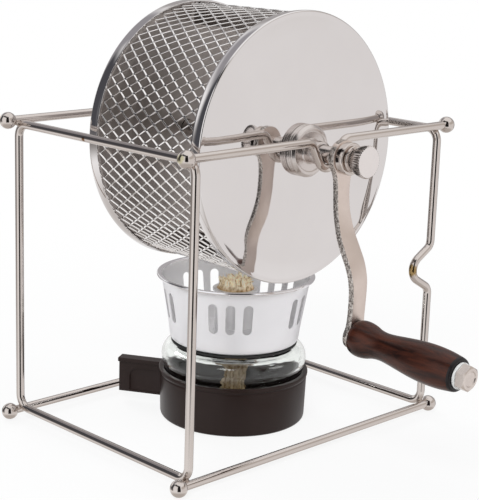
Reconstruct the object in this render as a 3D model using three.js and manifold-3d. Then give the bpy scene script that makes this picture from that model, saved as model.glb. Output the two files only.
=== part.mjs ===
// Manual coffee roaster: a bent wire stand carries a mesh drum that is cranked by hand over a spirit burner.
// Millimetres, +Z up. The origin is on the table, under the middle of the stand. The crank is on the -Y side.

import * as THREE from 'three';
import { mergeVertices } from 'three/addons/utils/BufferGeometryUtils.js';
import Module from 'manifold-3d';

const wasm = await Module();
wasm.setup();

// Clearances
const seatGap = 0.3; // between pieces that rest on, or are clamped against, each other
const overrun = 3; // how far a cutter runs past the face that it leaves

// Drum
const drumDiameter = 158.4;
const drumLength = 95;
const sheetThickness = 1.2;
const capEdgeRound = 1.4;
const frontBandWidth = 8.5;
const rearBandWidth = 7;
const meshThickness = 1.3;
const strandWidth = 1.7;
const meshColumns = 38; // diamonds round the drum
const meshRows = 8; // half diamonds along the drum
const vaneDepth = 12;
const vaneFoot = 6;
const vaneCount = 2;

// Shaft and its hubs
const shaftDiameter = 10;
const spigotDiameter = 7;
const shaftTail = 9.5; // past the middle of the rear rod
const shaftChamfer = 1;
const hubDiameter = 30.4;
const hubLength = 8.7;
const hubGroove = 0.8;
const hubChamfer = 2;
const hubNeckDiameter = 13.6;
const hubNeckLength = 8.6;
const setScrewDiameter = 2.6;
const setScrewLength = 1.3;
const setScrewShare = 0.72; // how far along the hub's neck the set screw is

// Crank arm, with the collar and the ribbed nut that clamp it on the shaft
const crankRadius = 100.6;
const armStandoff = 9.6; // from the middle of the front rod to the back of the arm
const armThickness = 3.8;
const armEyeDiameter = 20;
const armNeckWidth = 9.6;
const armBellyWidth = 13;
const armWristWidth = 10.6;
const armEndDiameter = 15.4;
const armJoggle = 15; // how far the arm has stepped away from the drum at the grip
const gripDroop = 3; // degrees that the grip points down
const collarDiameter = 18.6;
const collarLength = 5;
const collarStepDiameter = 15;
const collarStepLength = 2.4;
const nutDiameter = 18.6;
const nutBackDiameter = 15.8;
const nutLength = 9.6;
const nutRibs = 20;
const nutRibDepth = 0.7;
const nutFloor = 3.2;

// Wooden grip and the bolt that it turns on
const gripDiameter = 22.6;
const gripLength = 73;
const boltDiameter = 6;
const boltHeadWidth = 13; // across the flats
const boltHeadLength = 5.4;
const washerDiameter = 15;
const washerThickness = 1.5;

// Wire stand
const wireDiameter = 5;
const ballDiameter = 10;
const frontClearance = 21.35; // from the front rod to the drum's face
const rearClearance = 40.35; // from the drum to the rear rod
const sideClearance = 21.05; // from the drum's side to the middle of a side loop
const ballOverhang = 7.45; // from a side loop to the middle of a ball
const loopInset = 0.7; // side loop inside the cross rods, from front to back
const loopRise = 2.15; // side loop inside the cross rods, from top to bottom
const cradleDrop = 8; // from the straight rod down to the axis of the shaft
const cradleSlope = 60; // degrees of a cradle's flanks
const cradleShoulder = 6; // radius of the bend where a rod turns into its cradle
const kinkHeight = 92; // middle of a side cradle above the bottom rods

// Spirit burner
const burnerShift = 7.5; // towards the right of the stand, as it stands in use
const baseRimDiameter = 92.6;
const baseTaper = 0.8; // how far the foot lies inside the rim
const baseLipOverhang = 0.6;
const baseLipHeight = 2.2;
const baseHeight = 30.7;
const baseWall = 2.6;
const baseFloor = 3;
const baseFootRound = 2.4;
const handleReach = 75.6; // from the middle of the burner
const handleThickness = 6.6;
const handleRibWidth = 8.4;
const handleRibHeight = 2.6;
const handleFootGap = 6.5; // under the handle
const handleHeight = 22.4;
const handleAngle = 120.7; // degrees round from +X
const glassWall = 3;
const glassInset = 1; // of the bowl's widest line inside the base's rim
const glassShoulderRise = 8.5; // from the base's lip to the widest line
const glassDomeRise = 8.6; // from the widest line to the flat top
const glassTopDiameter = 79;
const gasketWidth = 6;
const gasketThickness = 1.6;
const shieldHeight = 41.8;
const shieldSheet = 1;
const shieldFootDiameter = 80.6;
const shieldFootRound = 3.2;
const shieldThroatDiameter = 92; // of the wall where it turns out to the rim
const shieldRimDiameter = 98.6;
const shieldRimHeight = 3.8; // from the throat up to the top
const shieldRimRoll = 1.1; // radius of the rolled rim
const slotGroups = 5;
const slotsPerGroup = 3;
const slotWidth = 5.8;
const slotLength = 19.2;
const slotDrop = 9; // from the rim down to the slots
const slotPitch = 13.9; // degrees between the slots of a group
const slotTurn = 222.1; // degrees round from +X to the middle of the front group
const holderDiameter = 25.4;
const holderWall = 1;
const holderHeight = 32; // above the floor of the wind shield
const holderLipWidth = 1.6;
const holderLipHeight = 1.4;
const holderFlangeWidth = 7;
const holderFlangeThickness = 1.6;
const holderDepth = 7; // below the floor of the wind shield
const wickHeadDiameter = 23.6;
const wickHeadHeight = 8;
const wickDip = 4; // from the wick's foot down to the glass floor
const flameGap = 7; // from the wind shield's rim up to the drum

// Heights and places worked out from the sizes above
const wireRadius = wireDiameter / 2;
const ballRadius = ballDiameter / 2;
const drumRadius = drumDiameter / 2;
const shaftRadius = shaftDiameter / 2;
const baseTop = baseHeight;
const glassWaist = baseTop + glassShoulderRise;
const glassTop = glassWaist + glassDomeRise;
const shieldFloor = glassTop + seatGap + gasketThickness + seatGap;
const shieldTop = shieldFloor + shieldHeight;
const axisHeight = shieldTop + flameGap + drumRadius;
const topRodHeight = axisHeight + cradleDrop;
const bottomRodHeight = ballRadius;
const standDepth = frontClearance + drumLength + rearClearance;
const loopSpacing = drumDiameter + 2 * sideClearance;
const ballSpacing = loopSpacing + 2 * ballOverhang;
const drumFront = frontClearance - standDepth / 2;
const drumBack = drumFront + drumLength;
const cradleRadius = shaftRadius + seatGap + wireRadius;
const armBack = -standDepth / 2 - armStandoff;
const armFront = armBack - armThickness;
const droopAngle = THREE.MathUtils.degToRad(gripDroop);

// Materials
function finish(color, roughness, metalness) {
  return new THREE.MeshStandardMaterial({ color, roughness, metalness, flatShading: true });
}
const nickelWire = finish(0xb9b1a9, 0.28, 1);
const mirrorSteel = finish(0xd6d2d0, 0.12, 1);
const meshSteel = finish(0xc4bfba, 0.35, 1);
const castNickel = finish(0xb7a898, 0.42, 1);
const chrome = finish(0xd0ccc8, 0.1, 1);
const darkWood = finish(0x3d1a12, 0.3, 0);
const brownPlastic = finish(0x3a2d2b, 0.42, 0);
const clearGlass = finish(0xc8cdca, 0.05, 0);
const blackRubber = finish(0x1c1b1b, 0.7, 0);
const brightAluminium = finish(0xdedde2, 0.3, 1);
const creamCotton = finish(0xcdbb95, 0.95, 0);
const whiteNylon = finish(0xd9dadb, 0.5, 0);

// Bodies: shared corners are merged, and triangles without area are left out
function closedBody(geometry) {
  const bare = new THREE.BufferGeometry();
  bare.setAttribute('position', geometry.getAttribute('position'));
  bare.setIndex(geometry.getIndex());
  const body = mergeVertices(bare);
  const corners = body.getIndex().array;
  const kept = [];
  for (let i = 0; i < corners.length; i += 3) {
    const [a, b, c] = [corners[i], corners[i + 1], corners[i + 2]];
    if (a !== b && b !== c && c !== a) kept.push(a, b, c);
  }
  body.setIndex(kept);
  return body;
}

function solid(geometry) {
  const body = closedBody(geometry);
  return new wasm.Manifold(new wasm.Mesh({
    numProp: 3,
    vertProperties: new Float32Array(body.getAttribute('position').array),
    triVerts: new Uint32Array(body.getIndex().array),
  }));
}

function fromSolid(manifold) {
  const mesh = manifold.getMesh();
  const geometry = new THREE.BufferGeometry();
  geometry.setAttribute('position', new THREE.BufferAttribute(mesh.vertProperties, 3));
  geometry.setIndex(new THREE.BufferAttribute(mesh.triVerts, 1));
  return geometry;
}

function joined(first, ...others) {
  return fromSolid(others.reduce((sum, geometry) => sum.add(solid(geometry)), solid(first)));
}

function cut(first, ...tools) {
  return fromSolid(tools.reduce((rest, geometry) => rest.subtract(solid(geometry)), solid(first)));
}

function common(first, second) {
  return fromSolid(solid(first).intersect(solid(second)));
}

// A piece turned about the Y axis, from [radius, y] points that run anticlockwise
function turned(points, segments) {
  return closedBody(new THREE.LatheGeometry(points.map(([r, y]) => new THREE.Vector2(r, y)), segments));
}

// The same, turned about the Z axis
function turnedUpright(points, segments) {
  return turned(points, segments).rotateX(Math.PI / 2);
}

// A plain pin along the Y axis, from one place to another
function pin(radius, from, to, segments) {
  return turned([[0, from], [radius, from], [radius, to], [0, to]], segments);
}

// Corner points of a quarter turn from one direction to the next, about a centre
function arcPoints(centreX, centreY, radius, fromDegrees, toDegrees, steps) {
  return Array.from({ length: steps + 1 }, (_, i) => {
    const angle = THREE.MathUtils.degToRad(fromDegrees + (toDegrees - fromDegrees) * i / steps);
    return [centreX + radius * Math.cos(angle), centreY + radius * Math.sin(angle)];
  });
}

// Wire: a path through corners, each rounded to its bend radius
function bentPath(corners, loop) {
  const path = [];
  corners.forEach(({ at, bend, steps }, i) => {
    const before = corners[(i + corners.length - 1) % corners.length].at;
    const after = corners[(i + 1) % corners.length].at;
    const isEnd = !loop && (i === 0 || i === corners.length - 1);
    if (isEnd || !bend) {
      path.push(at.clone());
      return;
    }
    const back = before.clone().sub(at).normalize();
    const ahead = after.clone().sub(at).normalize();
    const half = back.angleTo(ahead) / 2;
    const sweep = Math.PI - 2 * half;
    const centre = back.clone().add(ahead).normalize().multiplyScalar(bend / Math.sin(half)).add(at);
    const start = back.clone().multiplyScalar(bend / Math.tan(half)).add(at).sub(centre);
    const end = ahead.clone().multiplyScalar(bend / Math.tan(half)).add(at).sub(centre);
    const side = end.clone().addScaledVector(start, -Math.cos(sweep)).divideScalar(Math.sin(sweep));
    for (let k = 0; k <= steps; k += 1) {
      const angle = sweep * k / steps;
      path.push(start.clone().multiplyScalar(Math.cos(angle)).addScaledVector(side, Math.sin(angle)).add(centre));
    }
  });
  return path;
}

// Round wire swept along a path. The side direction is never along the wire, so the rings don't twist.
function wire(path, side, loop) {
  const sides = 10;
  const count = path.length;
  const positions = [];
  path.forEach((point, i) => {
    const before = path[(i + count - 1) % count];
    const after = path[(i + 1) % count];
    const arriving = point.clone().sub(before).normalize();
    const leaving = after.clone().sub(point).normalize();
    const along = new THREE.Vector3();
    if (loop || i > 0) along.add(arriving);
    if (loop || i < count - 1) along.add(leaving);
    along.normalize();
    const across = side.clone().addScaledVector(along, -side.dot(along)).normalize();
    const up = along.clone().cross(across);
    for (let k = 0; k < sides; k += 1) {
      const angle = 2 * Math.PI * k / sides;
      const corner = point.clone().addScaledVector(across, wireRadius * Math.cos(angle));
      corner.addScaledVector(up, wireRadius * Math.sin(angle));
      positions.push(...corner.toArray());
    }
  });
  const index = [];
  const rings = loop ? count : count - 1;
  for (let i = 0; i < rings; i += 1) {
    for (let k = 0; k < sides; k += 1) {
      const a = i * sides + k;
      const b = i * sides + (k + 1) % sides;
      const c = ((i + 1) % count) * sides + k;
      const d = ((i + 1) % count) * sides + (k + 1) % sides;
      index.push(a, b, c, b, d, c);
    }
  }
  if (!loop) {
    for (let k = 1; k < sides - 1; k += 1) {
      index.push(0, k + 1, k);
      const last = (count - 1) * sides;
      index.push(last, last + k, last + k + 1);
    }
  }
  const geometry = new THREE.BufferGeometry();
  geometry.setAttribute('position', new THREE.Float32BufferAttribute(positions, 3));
  geometry.setIndex(index);
  return geometry;
}

// A cradle: the corners of a round-bottomed dip in a wire, about the shaft that it can carry.
// The dip lies along one direction, its middle at a place, and sinks towards another direction.
function cradleCorners(middle, along, sink) {
  const slope = THREE.MathUtils.degToRad(cradleSlope);
  const depth = cradleDrop + cradleRadius / Math.cos(slope);
  const halfWidth = depth / Math.tan(slope);
  const corner = (reach, fall) => middle.clone().addScaledVector(along, reach).addScaledVector(sink, fall);
  return [
    { at: corner(-halfWidth, 0), bend: cradleShoulder, steps: 2 },
    { at: corner(0, depth), bend: cradleRadius, steps: 6 },
    { at: corner(halfWidth, 0), bend: cradleShoulder, steps: 2 },
  ];
}

// Directions of the stand
const right = new THREE.Vector3(1, 0, 0);
const rear = new THREE.Vector3(0, 1, 0);
const down = new THREE.Vector3(0, 0, -1);
const up = new THREE.Vector3(0, 0, 1);
const left = new THREE.Vector3(-1, 0, 0);

// Stand: cross rods between the balls, with a cradle in each top one
const ballFlat = Math.sqrt(ballRadius ** 2 - wireRadius ** 2);
const rodHalfLength = ballSpacing / 2 - ballFlat - seatGap;

function crossRod(y, z, hasCradle) {
  const end = (x) => ({ at: new THREE.Vector3(x, y, z) });
  const middle = hasCradle ? cradleCorners(new THREE.Vector3(0, y, z), right, down) : [];
  return wire(bentPath([end(-rodHalfLength), ...middle, end(rodHalfLength)], false), rear, false);
}

// The ball has a small flat where its rod is joined, and lies with that flat towards -X
function ball() {
  const flatAngle = THREE.MathUtils.radToDeg(Math.asin(wireRadius / ballRadius));
  const outline = arcPoints(0, 0, ballRadius, flatAngle - 90, 90, 5);
  return turned([[0, -ballFlat], ...outline], 12).rotateZ(-Math.PI / 2);
}

// Side loops: the cross rods nest against the elbows from outside, so the elbow's radius follows from both
function elbowRadius() {
  const reach = wireDiameter + seatGap;
  const b = 2 * (loopInset + loopRise - reach);
  const c = loopInset ** 2 + loopRise ** 2 - reach ** 2;
  return (-b + Math.sqrt(b ** 2 - 4 * c)) / 2;
}

function sideLoop(x, hasCradles) {
  const halfDepth = standDepth / 2 - loopInset;
  const bottom = bottomRodHeight + loopRise;
  const top = topRodHeight - loopRise;
  const corner = (y, z) => ({ at: new THREE.Vector3(x, y, z), bend: elbowRadius(), steps: 4 });
  const kink = (y, along) => (hasCradles
    ? cradleCorners(new THREE.Vector3(x, y, bottomRodHeight + kinkHeight), along, left)
    : []);
  const corners = [
    corner(-halfDepth, bottom),
    corner(halfDepth, bottom),
    ...kink(halfDepth, up),
    corner(halfDepth, top),
    corner(-halfDepth, top),
    ...kink(-halfDepth, down),
  ];
  return wire(bentPath(corners, true), right, true);
}

// Drum: expanded mesh, drawn as diamonds between nodes. A node's four outer corners lie round its pad,
// and each strand narrows to a ridge inside, from node to node. A plain margin runs along both edges.
const meshRadius = drumRadius - sheetThickness - seatGap;
const meshStart = drumFront + sheetThickness + seatGap;
const meshEnd = drumBack - sheetThickness - seatGap;

function expandedMesh() {
  const firstRow = drumFront + frontBandWidth - strandWidth;
  const lastRow = drumBack - rearBandWidth + strandWidth;
  const rowStep = (lastRow - firstRow) / meshRows;
  const columnStep = 2 * Math.PI * meshRadius / meshColumns;
  const strandLength = Math.hypot(rowStep, columnStep / 2);
  const padAlong = strandWidth * strandLength / columnStep;
  const padRound = strandWidth * strandLength / (2 * rowStep);
  const positions = [];
  const index = [];
  const vertex = (radius, round, y) => {
    const angle = round / meshRadius;
    positions.push(radius * Math.cos(angle), y, radius * Math.sin(angle));
    return positions.length / 3 - 1;
  };
  const innerRadius = meshRadius - meshThickness;
  const quad = (a, b, c, d) => index.push(a, b, c, a, c, d);
  const rows = [];
  for (let j = 0; j <= meshRows; j += 1) {
    const y = firstRow + rowStep * j;
    rows.push(Array.from({ length: meshColumns }, (_, i) => {
      const round = columnStep * (i + (j % 2) / 2);
      return {
        ridge: vertex(innerRadius, round, y),
        fore: j > 0 ? vertex(meshRadius, round, y - padAlong) : null,
        aft: j < meshRows ? vertex(meshRadius, round, y + padAlong) : null,
        low: vertex(meshRadius, round - padRound, y),
        high: vertex(meshRadius, round + padRound, y),
      };
    }));
  }
  const node = (j, i) => rows[j][(i + meshColumns) % meshColumns];
  for (let j = 0; j < meshRows; j += 1) {
    for (let i = 0; i < meshColumns; i += 1) {
      const from = node(j, i);
      const above = node(j + 1, j % 2 ? i + 1 : i);
      const below = node(j + 1, j % 2 ? i : i - 1);
      quad(from.aft, above.low, above.fore, from.high);
      quad(from.high, above.fore, above.ridge, from.ridge);
      quad(from.ridge, above.ridge, above.low, from.aft);
      quad(from.low, below.fore, below.high, from.aft);
      quad(from.aft, below.high, below.ridge, from.ridge);
      quad(from.ridge, below.ridge, below.fore, from.low);
    }
  }
  for (let j = 1; j < meshRows; j += 1) {
    for (let i = 0; i < meshColumns; i += 1) {
      const pad = node(j, i);
      quad(pad.fore, pad.low, pad.aft, pad.high);
    }
  }
  const margin = (j, edge, flip) => {
    const outer = [];
    const inner = [];
    for (let i = 0; i < meshColumns; i += 1) {
      const round = columnStep * (i + (j % 2) / 2);
      outer.push(vertex(meshRadius, round, edge));
      inner.push(vertex(innerRadius, round, edge));
    }
    const face = (...corners) => {
      const turnedCorners = flip ? corners.reverse() : corners;
      for (let k = 1; k < turnedCorners.length - 1; k += 1) {
        index.push(turnedCorners[0], turnedCorners[k], turnedCorners[k + 1]);
      }
    };
    for (let i = 0; i < meshColumns; i += 1) {
      const next = (i + 1) % meshColumns;
      const here = node(j, i);
      const there = node(j, i + 1);
      const tip = here.aft ?? here.fore;
      face(here.low, tip, here.high);
      face(outer[i], here.low, here.high);
      face(outer[i], here.high, there.low, outer[next]);
      face(here.high, here.ridge, there.ridge, there.low);
      face(inner[i], inner[next], there.ridge, here.ridge);
      face(outer[i], outer[next], inner[next], inner[i]);
    }
  };
  margin(0, meshStart, false);
  margin(meshRows, meshEnd, true);
  const geometry = new THREE.BufferGeometry();
  geometry.setAttribute('position', new THREE.Float32BufferAttribute(positions, 3));
  geometry.setIndex(index);
  return geometry;
}

// End cap: a pressed disc whose band wraps the mesh. Its face is at y = 0 and looks along +Y.
const shaftBore = shaftRadius + seatGap;

function endCap(bandWidth) {
  return turned([
    [shaftBore, -sheetThickness],
    [drumRadius - sheetThickness, -sheetThickness],
    [drumRadius - sheetThickness, -bandWidth],
    [drumRadius, -bandWidth],
    ...arcPoints(drumRadius - capEdgeRound, -capEdgeRound, capEdgeRound, 0, 90, 2),
    [shaftBore, 0],
    [shaftBore, -sheetThickness],
  ], 44);
}

// Hub: a flange against the cap, with a groove near its foot and a wide chamfer, and a neck with a set
// screw. It stands on y = 0, towards +Y.
const setScrewPlace = hubLength + hubNeckLength * setScrewShare;

function hub() {
  const flange = hubDiameter / 2;
  const neck = hubNeckDiameter / 2;
  const body = turned([
    [shaftBore, 0],
    [flange, 0],
    [flange, hubGroove],
    [flange - hubGroove / 2, 1.5 * hubGroove],
    [flange, 2 * hubGroove],
    [flange, hubLength - hubChamfer / 2],
    [flange - hubChamfer, hubLength],
    [neck, hubLength],
    [neck, hubLength + hubNeckLength],
    [shaftBore, hubLength + hubNeckLength],
    [shaftBore, 0],
  ], 20);
  const hole = pin(setScrewDiameter / 2 + seatGap, 0, neck + overrun, 8);
  hole.rotateX(Math.PI / 2).translate(0, setScrewPlace, 0);
  return cut(body, hole);
}

function setScrew() {
  const screw = pin(setScrewDiameter / 2, shaftBore, shaftBore + setScrewLength, 8);
  return screw.rotateX(Math.PI / 2).translate(0, setScrewPlace, 0);
}

// Lifting vane: an angle strip inside the mesh, from cap to cap, that turns the beans over
function liftingVane() {
  const reach = meshRadius - meshThickness - seatGap;
  const inside = reach - sheetThickness;
  const outline = [
    [reach, 0],
    [reach - vaneDepth, 0],
    [reach - vaneDepth, -sheetThickness],
    [inside, -sheetThickness],
    [inside, -vaneFoot],
    [reach - sheetThickness / 2, -vaneFoot],
  ].map(([x, z]) => new THREE.Vector2(x, z));
  const flat = new THREE.ExtrudeGeometry(new THREE.Shape(outline), {
    depth: meshEnd - meshStart,
    bevelEnabled: false,
  });
  return closedBody(flat).rotateX(Math.PI / 2).translate(0, meshEnd, 0);
}

// Shaft: through the drum, with a thinner spigot that carries the crank
function shaft() {
  const tail = standDepth / 2 + shaftTail;
  const spigotEnd = armFront - seatGap - collarLength - collarStepLength - seatGap - nutLength + nutFloor + seatGap;
  return turned([
    [0, spigotEnd],
    [spigotDiameter / 2, spigotEnd],
    [spigotDiameter / 2, armBack + seatGap],
    [shaftRadius, armBack + seatGap],
    [shaftRadius, tail - shaftChamfer],
    [shaftRadius - shaftChamfer, tail],
    [0, tail],
  ], 16);
}

// Crank arm: a flat bar. Its front outline is cut out of a ribbon that is bent in the side view.
// Heights along the arm are shares of the crank radius, below the shaft.
const neckShare = 0.27;
const bellyShare = 0.5;
const wristShare = 0.8;
const stepStartShare = 0.27;
const stepMiddleShare = 0.5;
const stepEndShare = 0.72;

function armOutline() {
  const eye = armEyeDiameter / 2;
  const end = armEndDiameter / 2;
  const halfWidths = [
    [neckShare, armNeckWidth / 2],
    [bellyShare, armBellyWidth / 2],
    [wristShare, armWristWidth / 2],
  ].map(([share, half]) => [half, -share * crankRadius]);
  const eyeArc = arcPoints(0, 0, eye, 90, -35, 8);
  const endArc = arcPoints(0, -crankRadius, end, 35, -90, 6);
  const flank = new THREE.SplineCurve([eyeArc.at(-1), ...halfWidths, endArc[0]]
    .map(([x, z]) => new THREE.Vector2(x, z)));
  const rightSide = [
    ...eyeArc.slice(0, -1),
    ...flank.getPoints(10).map(({ x, y }) => [x, y]),
    ...endArc.slice(1),
  ];
  const leftSide = rightSide.slice(1, -1).reverse().map(([x, z]) => [-x, z]);
  return new THREE.Shape([...rightSide, ...leftSide].map(([x, z]) => new THREE.Vector2(x, z)));
}

// Side view of the ribbon, as [distance in front of the upper part, height] of its front face
const gripSeatStep = armJoggle;

function armRibbon() {
  const top = armEyeDiameter / 2 + overrun;
  const bottom = -crankRadius - armEndDiameter / 2 - overrun;
  const lean = (z) => gripSeatStep - (-crankRadius - z) * Math.tan(droopAngle);
  const straightEnd = -stepStartShare * crankRadius;
  const stepEnd = -stepEndShare * crankRadius;
  const middle = -stepMiddleShare * crankRadius;
  const bend = new THREE.CubicBezierCurve(
    new THREE.Vector2(0, straightEnd),
    new THREE.Vector2(0, middle),
    new THREE.Vector2(lean(middle), middle),
    new THREE.Vector2(lean(stepEnd), stepEnd),
  );
  const line = [
    new THREE.Vector2(0, top),
    ...bend.getPoints(7),
    new THREE.Vector2(lean(bottom), bottom),
  ];
  const frontFace = line.map(({ x, y }) => new THREE.Vector2(x, y));
  const backFace = line.map((point, i) => {
    const before = line[Math.max(i - 1, 0)];
    const after = line[Math.min(i + 1, line.length - 1)];
    const run = after.clone().sub(before).normalize();
    return new THREE.Vector2(point.x + run.y * armThickness, point.y - run.x * armThickness);
  });
  return new THREE.Shape([...frontFace, ...backFace.reverse()]);
}

function crankArm() {
  const reach = armThickness + armJoggle + overrun;
  const front = closedBody(new THREE.ExtrudeGeometry(armOutline(), { depth: 2 * reach, bevelEnabled: false }));
  front.rotateX(Math.PI / 2).translate(0, armFront + reach, 0);
  const width = armEyeDiameter + 2 * overrun;
  const side = closedBody(new THREE.ExtrudeGeometry(armRibbon(), { depth: width, bevelEnabled: false }));
  side.rotateX(Math.PI / 2).rotateZ(-Math.PI / 2).translate(width / 2, armFront, 0);
  const eyeHole = pin(spigotDiameter / 2 + seatGap, armFront - overrun, armBack + overrun, 16);
  const boltHole = pin(boltDiameter / 2 + seatGap, -armThickness - overrun, armThickness + overrun, 12);
  boltHole.rotateX(droopAngle).translate(0, gripSeat, -crankRadius);
  return cut(common(front, side), eyeHole, boltHole);
}

const gripSeat = armFront - gripSeatStep;

// Stepped collar on the spigot, in front of the arm
const collarFront = armFront - seatGap - collarLength - collarStepLength;

function crankCollar() {
  const bore = spigotDiameter / 2 + seatGap;
  const back = armFront - seatGap;
  const step = back - collarLength;
  const edge = (collarDiameter - collarStepDiameter) / 4;
  return turned([
    [bore, collarFront],
    [collarStepDiameter / 2, collarFront],
    [collarStepDiameter / 2, step],
    [collarDiameter / 2 - edge, step],
    [collarDiameter / 2, step + edge],
    [collarDiameter / 2, back],
    [bore, back],
    [bore, collarFront],
  ], 18);
}

// Ribbed nut: wider towards its plain front face, with a blind bore for the spigot
function thumbNut() {
  const outer = nutDiameter / 2;
  const back = collarFront - seatGap;
  const front = back - nutLength;
  const points = Array.from({ length: 2 * nutRibs }, (_, i) => {
    const radius = i % 2 ? outer - nutRibDepth : outer;
    const angle = Math.PI * i / nutRibs;
    return new THREE.Vector2(radius * Math.cos(angle), radius * Math.sin(angle));
  });
  const blank = closedBody(new THREE.ExtrudeGeometry(new THREE.Shape(points), {
    depth: nutLength,
    bevelEnabled: false,
  }));
  const place = blank.getAttribute('position');
  const taper = nutBackDiameter / nutDiameter;
  for (let i = 0; i < place.count; i += 1) {
    const scale = place.getZ(i) > nutLength / 2 ? 1 : taper;
    place.setXY(i, place.getX(i) * scale, place.getY(i) * scale);
  }
  blank.rotateX(Math.PI / 2).translate(0, back, 0);
  return cut(blank, pin(spigotDiameter / 2 + seatGap, front + nutFloor, back + overrun, 16));
}

// Grip and its bolt, along -Y from the arm's face at y = 0. The outline is [share of length, share of diameter].
const gripOutlineShares = [
  [0, 0.84], [0.02, 0.9], [0.085, 0.945], [0.16, 0.84], [0.26, 0.705], [0.35, 0.76],
  [0.46, 0.85], [0.58, 0.945], [0.69, 0.995], [0.79, 1], [0.89, 0.955], [0.96, 0.875], [1, 0.72],
];

function woodenGrip() {
  const bore = boltDiameter / 2 + seatGap;
  const outline = gripOutlineShares.map(([along, across]) => [
    across * gripDiameter / 2,
    -seatGap - along * gripLength,
  ]);
  return turned([[bore, -seatGap - gripLength], ...outline.reverse(), [bore, -seatGap],
    [bore, -seatGap - gripLength]], 16);
}

const gripEnd = -seatGap - gripLength;
const washerFront = gripEnd - seatGap - washerThickness;

function gripWasher() {
  const bore = boltDiameter / 2 + seatGap;
  const back = washerFront + washerThickness;
  const outer = washerDiameter / 2;
  return turned([[bore, washerFront], [outer, washerFront], [outer, back], [bore, back], [bore, washerFront]], 16);
}

function gripBolt() {
  const headBack = washerFront - seatGap;
  const headFront = headBack - boltHeadLength;
  const corner = boltHeadWidth / Math.sqrt(3);
  const chamfer = corner - boltHeadWidth / 2;
  const hex = turned([[0, headFront], [corner, headFront], [corner, headBack], [0, headBack]], 6);
  const dome = turned([
    [0, headFront],
    [corner - chamfer, headFront],
    [corner + chamfer / 2, headFront + chamfer],
    [corner + chamfer / 2, headBack],
    [0, headBack],
  ], 18);
  const shank = pin(boltDiameter / 2, headFront + boltHeadLength / 2, armThickness - seatGap, 12);
  return joined(common(hex, dome), shank);
}

// Burner base: a shallow moulded cup with a flat handle
function burnerBase() {
  const rim = baseRimDiameter / 2;
  const foot = rim - baseTaper;
  const lip = rim + baseLipOverhang;
  const inside = rim - baseWall;
  const cup = turnedUpright([
    [0, 0],
    ...arcPoints(foot - baseFootRound, baseFootRound, baseFootRound, -90, 0, 2),
    [rim, baseTop - baseLipHeight],
    [lip, baseTop - baseLipHeight],
    [lip, baseTop],
    [inside, baseTop],
    [inside, baseFloor],
    [0, baseFloor],
  ], 36);
  const start = inside + baseWall / 2;
  const web = new THREE.BoxGeometry(handleReach - start, handleThickness, handleHeight);
  web.translate((handleReach + start) / 2, 0, handleFootGap + handleHeight / 2);
  const rib = new THREE.BoxGeometry(handleReach - start, handleRibWidth, handleRibHeight);
  rib.translate((handleReach + start) / 2, 0, handleFootGap + handleHeight - handleRibHeight / 2);
  const angle = THREE.MathUtils.degToRad(handleAngle);
  return joined(cup, web.rotateZ(angle), rib.rotateZ(angle));
}

// Glass bowl: sits in the base, bulges over its lip and closes to a neck for the wick holder
const neckBore = holderDiameter / 2 + seatGap;

function glassBowl() {
  const body = baseRimDiameter / 2 - baseWall - seatGap;
  const shoulder = baseRimDiameter / 2 - glassInset;
  const top = glassTopDiameter / 2;
  const floor = baseFloor + seatGap;
  const seat = baseTop + seatGap;
  const bulge = (glassWaist - seat) / 3;
  const dome = (share) => [
    top + (shoulder - top) * Math.sqrt(1 - share ** 2),
    glassWaist + glassDomeRise * share,
  ];
  const outside = [
    [0, floor],
    [body - glassWall, floor],
    [body, floor + glassWall],
    [body, seat],
    [shoulder - bulge / 2, seat],
    [shoulder, seat + bulge],
    [shoulder, glassWaist],
    dome(0.65),
    dome(1),
  ];
  const inside = [
    [neckBore, glassTop],
    [neckBore, glassTop - glassWall],
    [top - glassWall, glassTop - glassWall],
    [shoulder - glassWall, glassWaist],
    [body - glassWall, seat],
    [body - glassWall, floor + 2 * glassWall],
    [body - 2 * glassWall, floor + glassWall],
    [0, floor + glassWall],
  ];
  return turnedUpright([...outside, ...inside], 24);
}

function gasket() {
  const outer = glassTopDiameter / 2;
  const inner = outer - gasketWidth;
  const bottom = glassTop + seatGap;
  const top = bottom + gasketThickness;
  return turnedUpright([
    [inner, bottom], [outer, bottom], [outer, top], [inner, top], [inner, bottom],
  ], 24);
}

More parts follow.
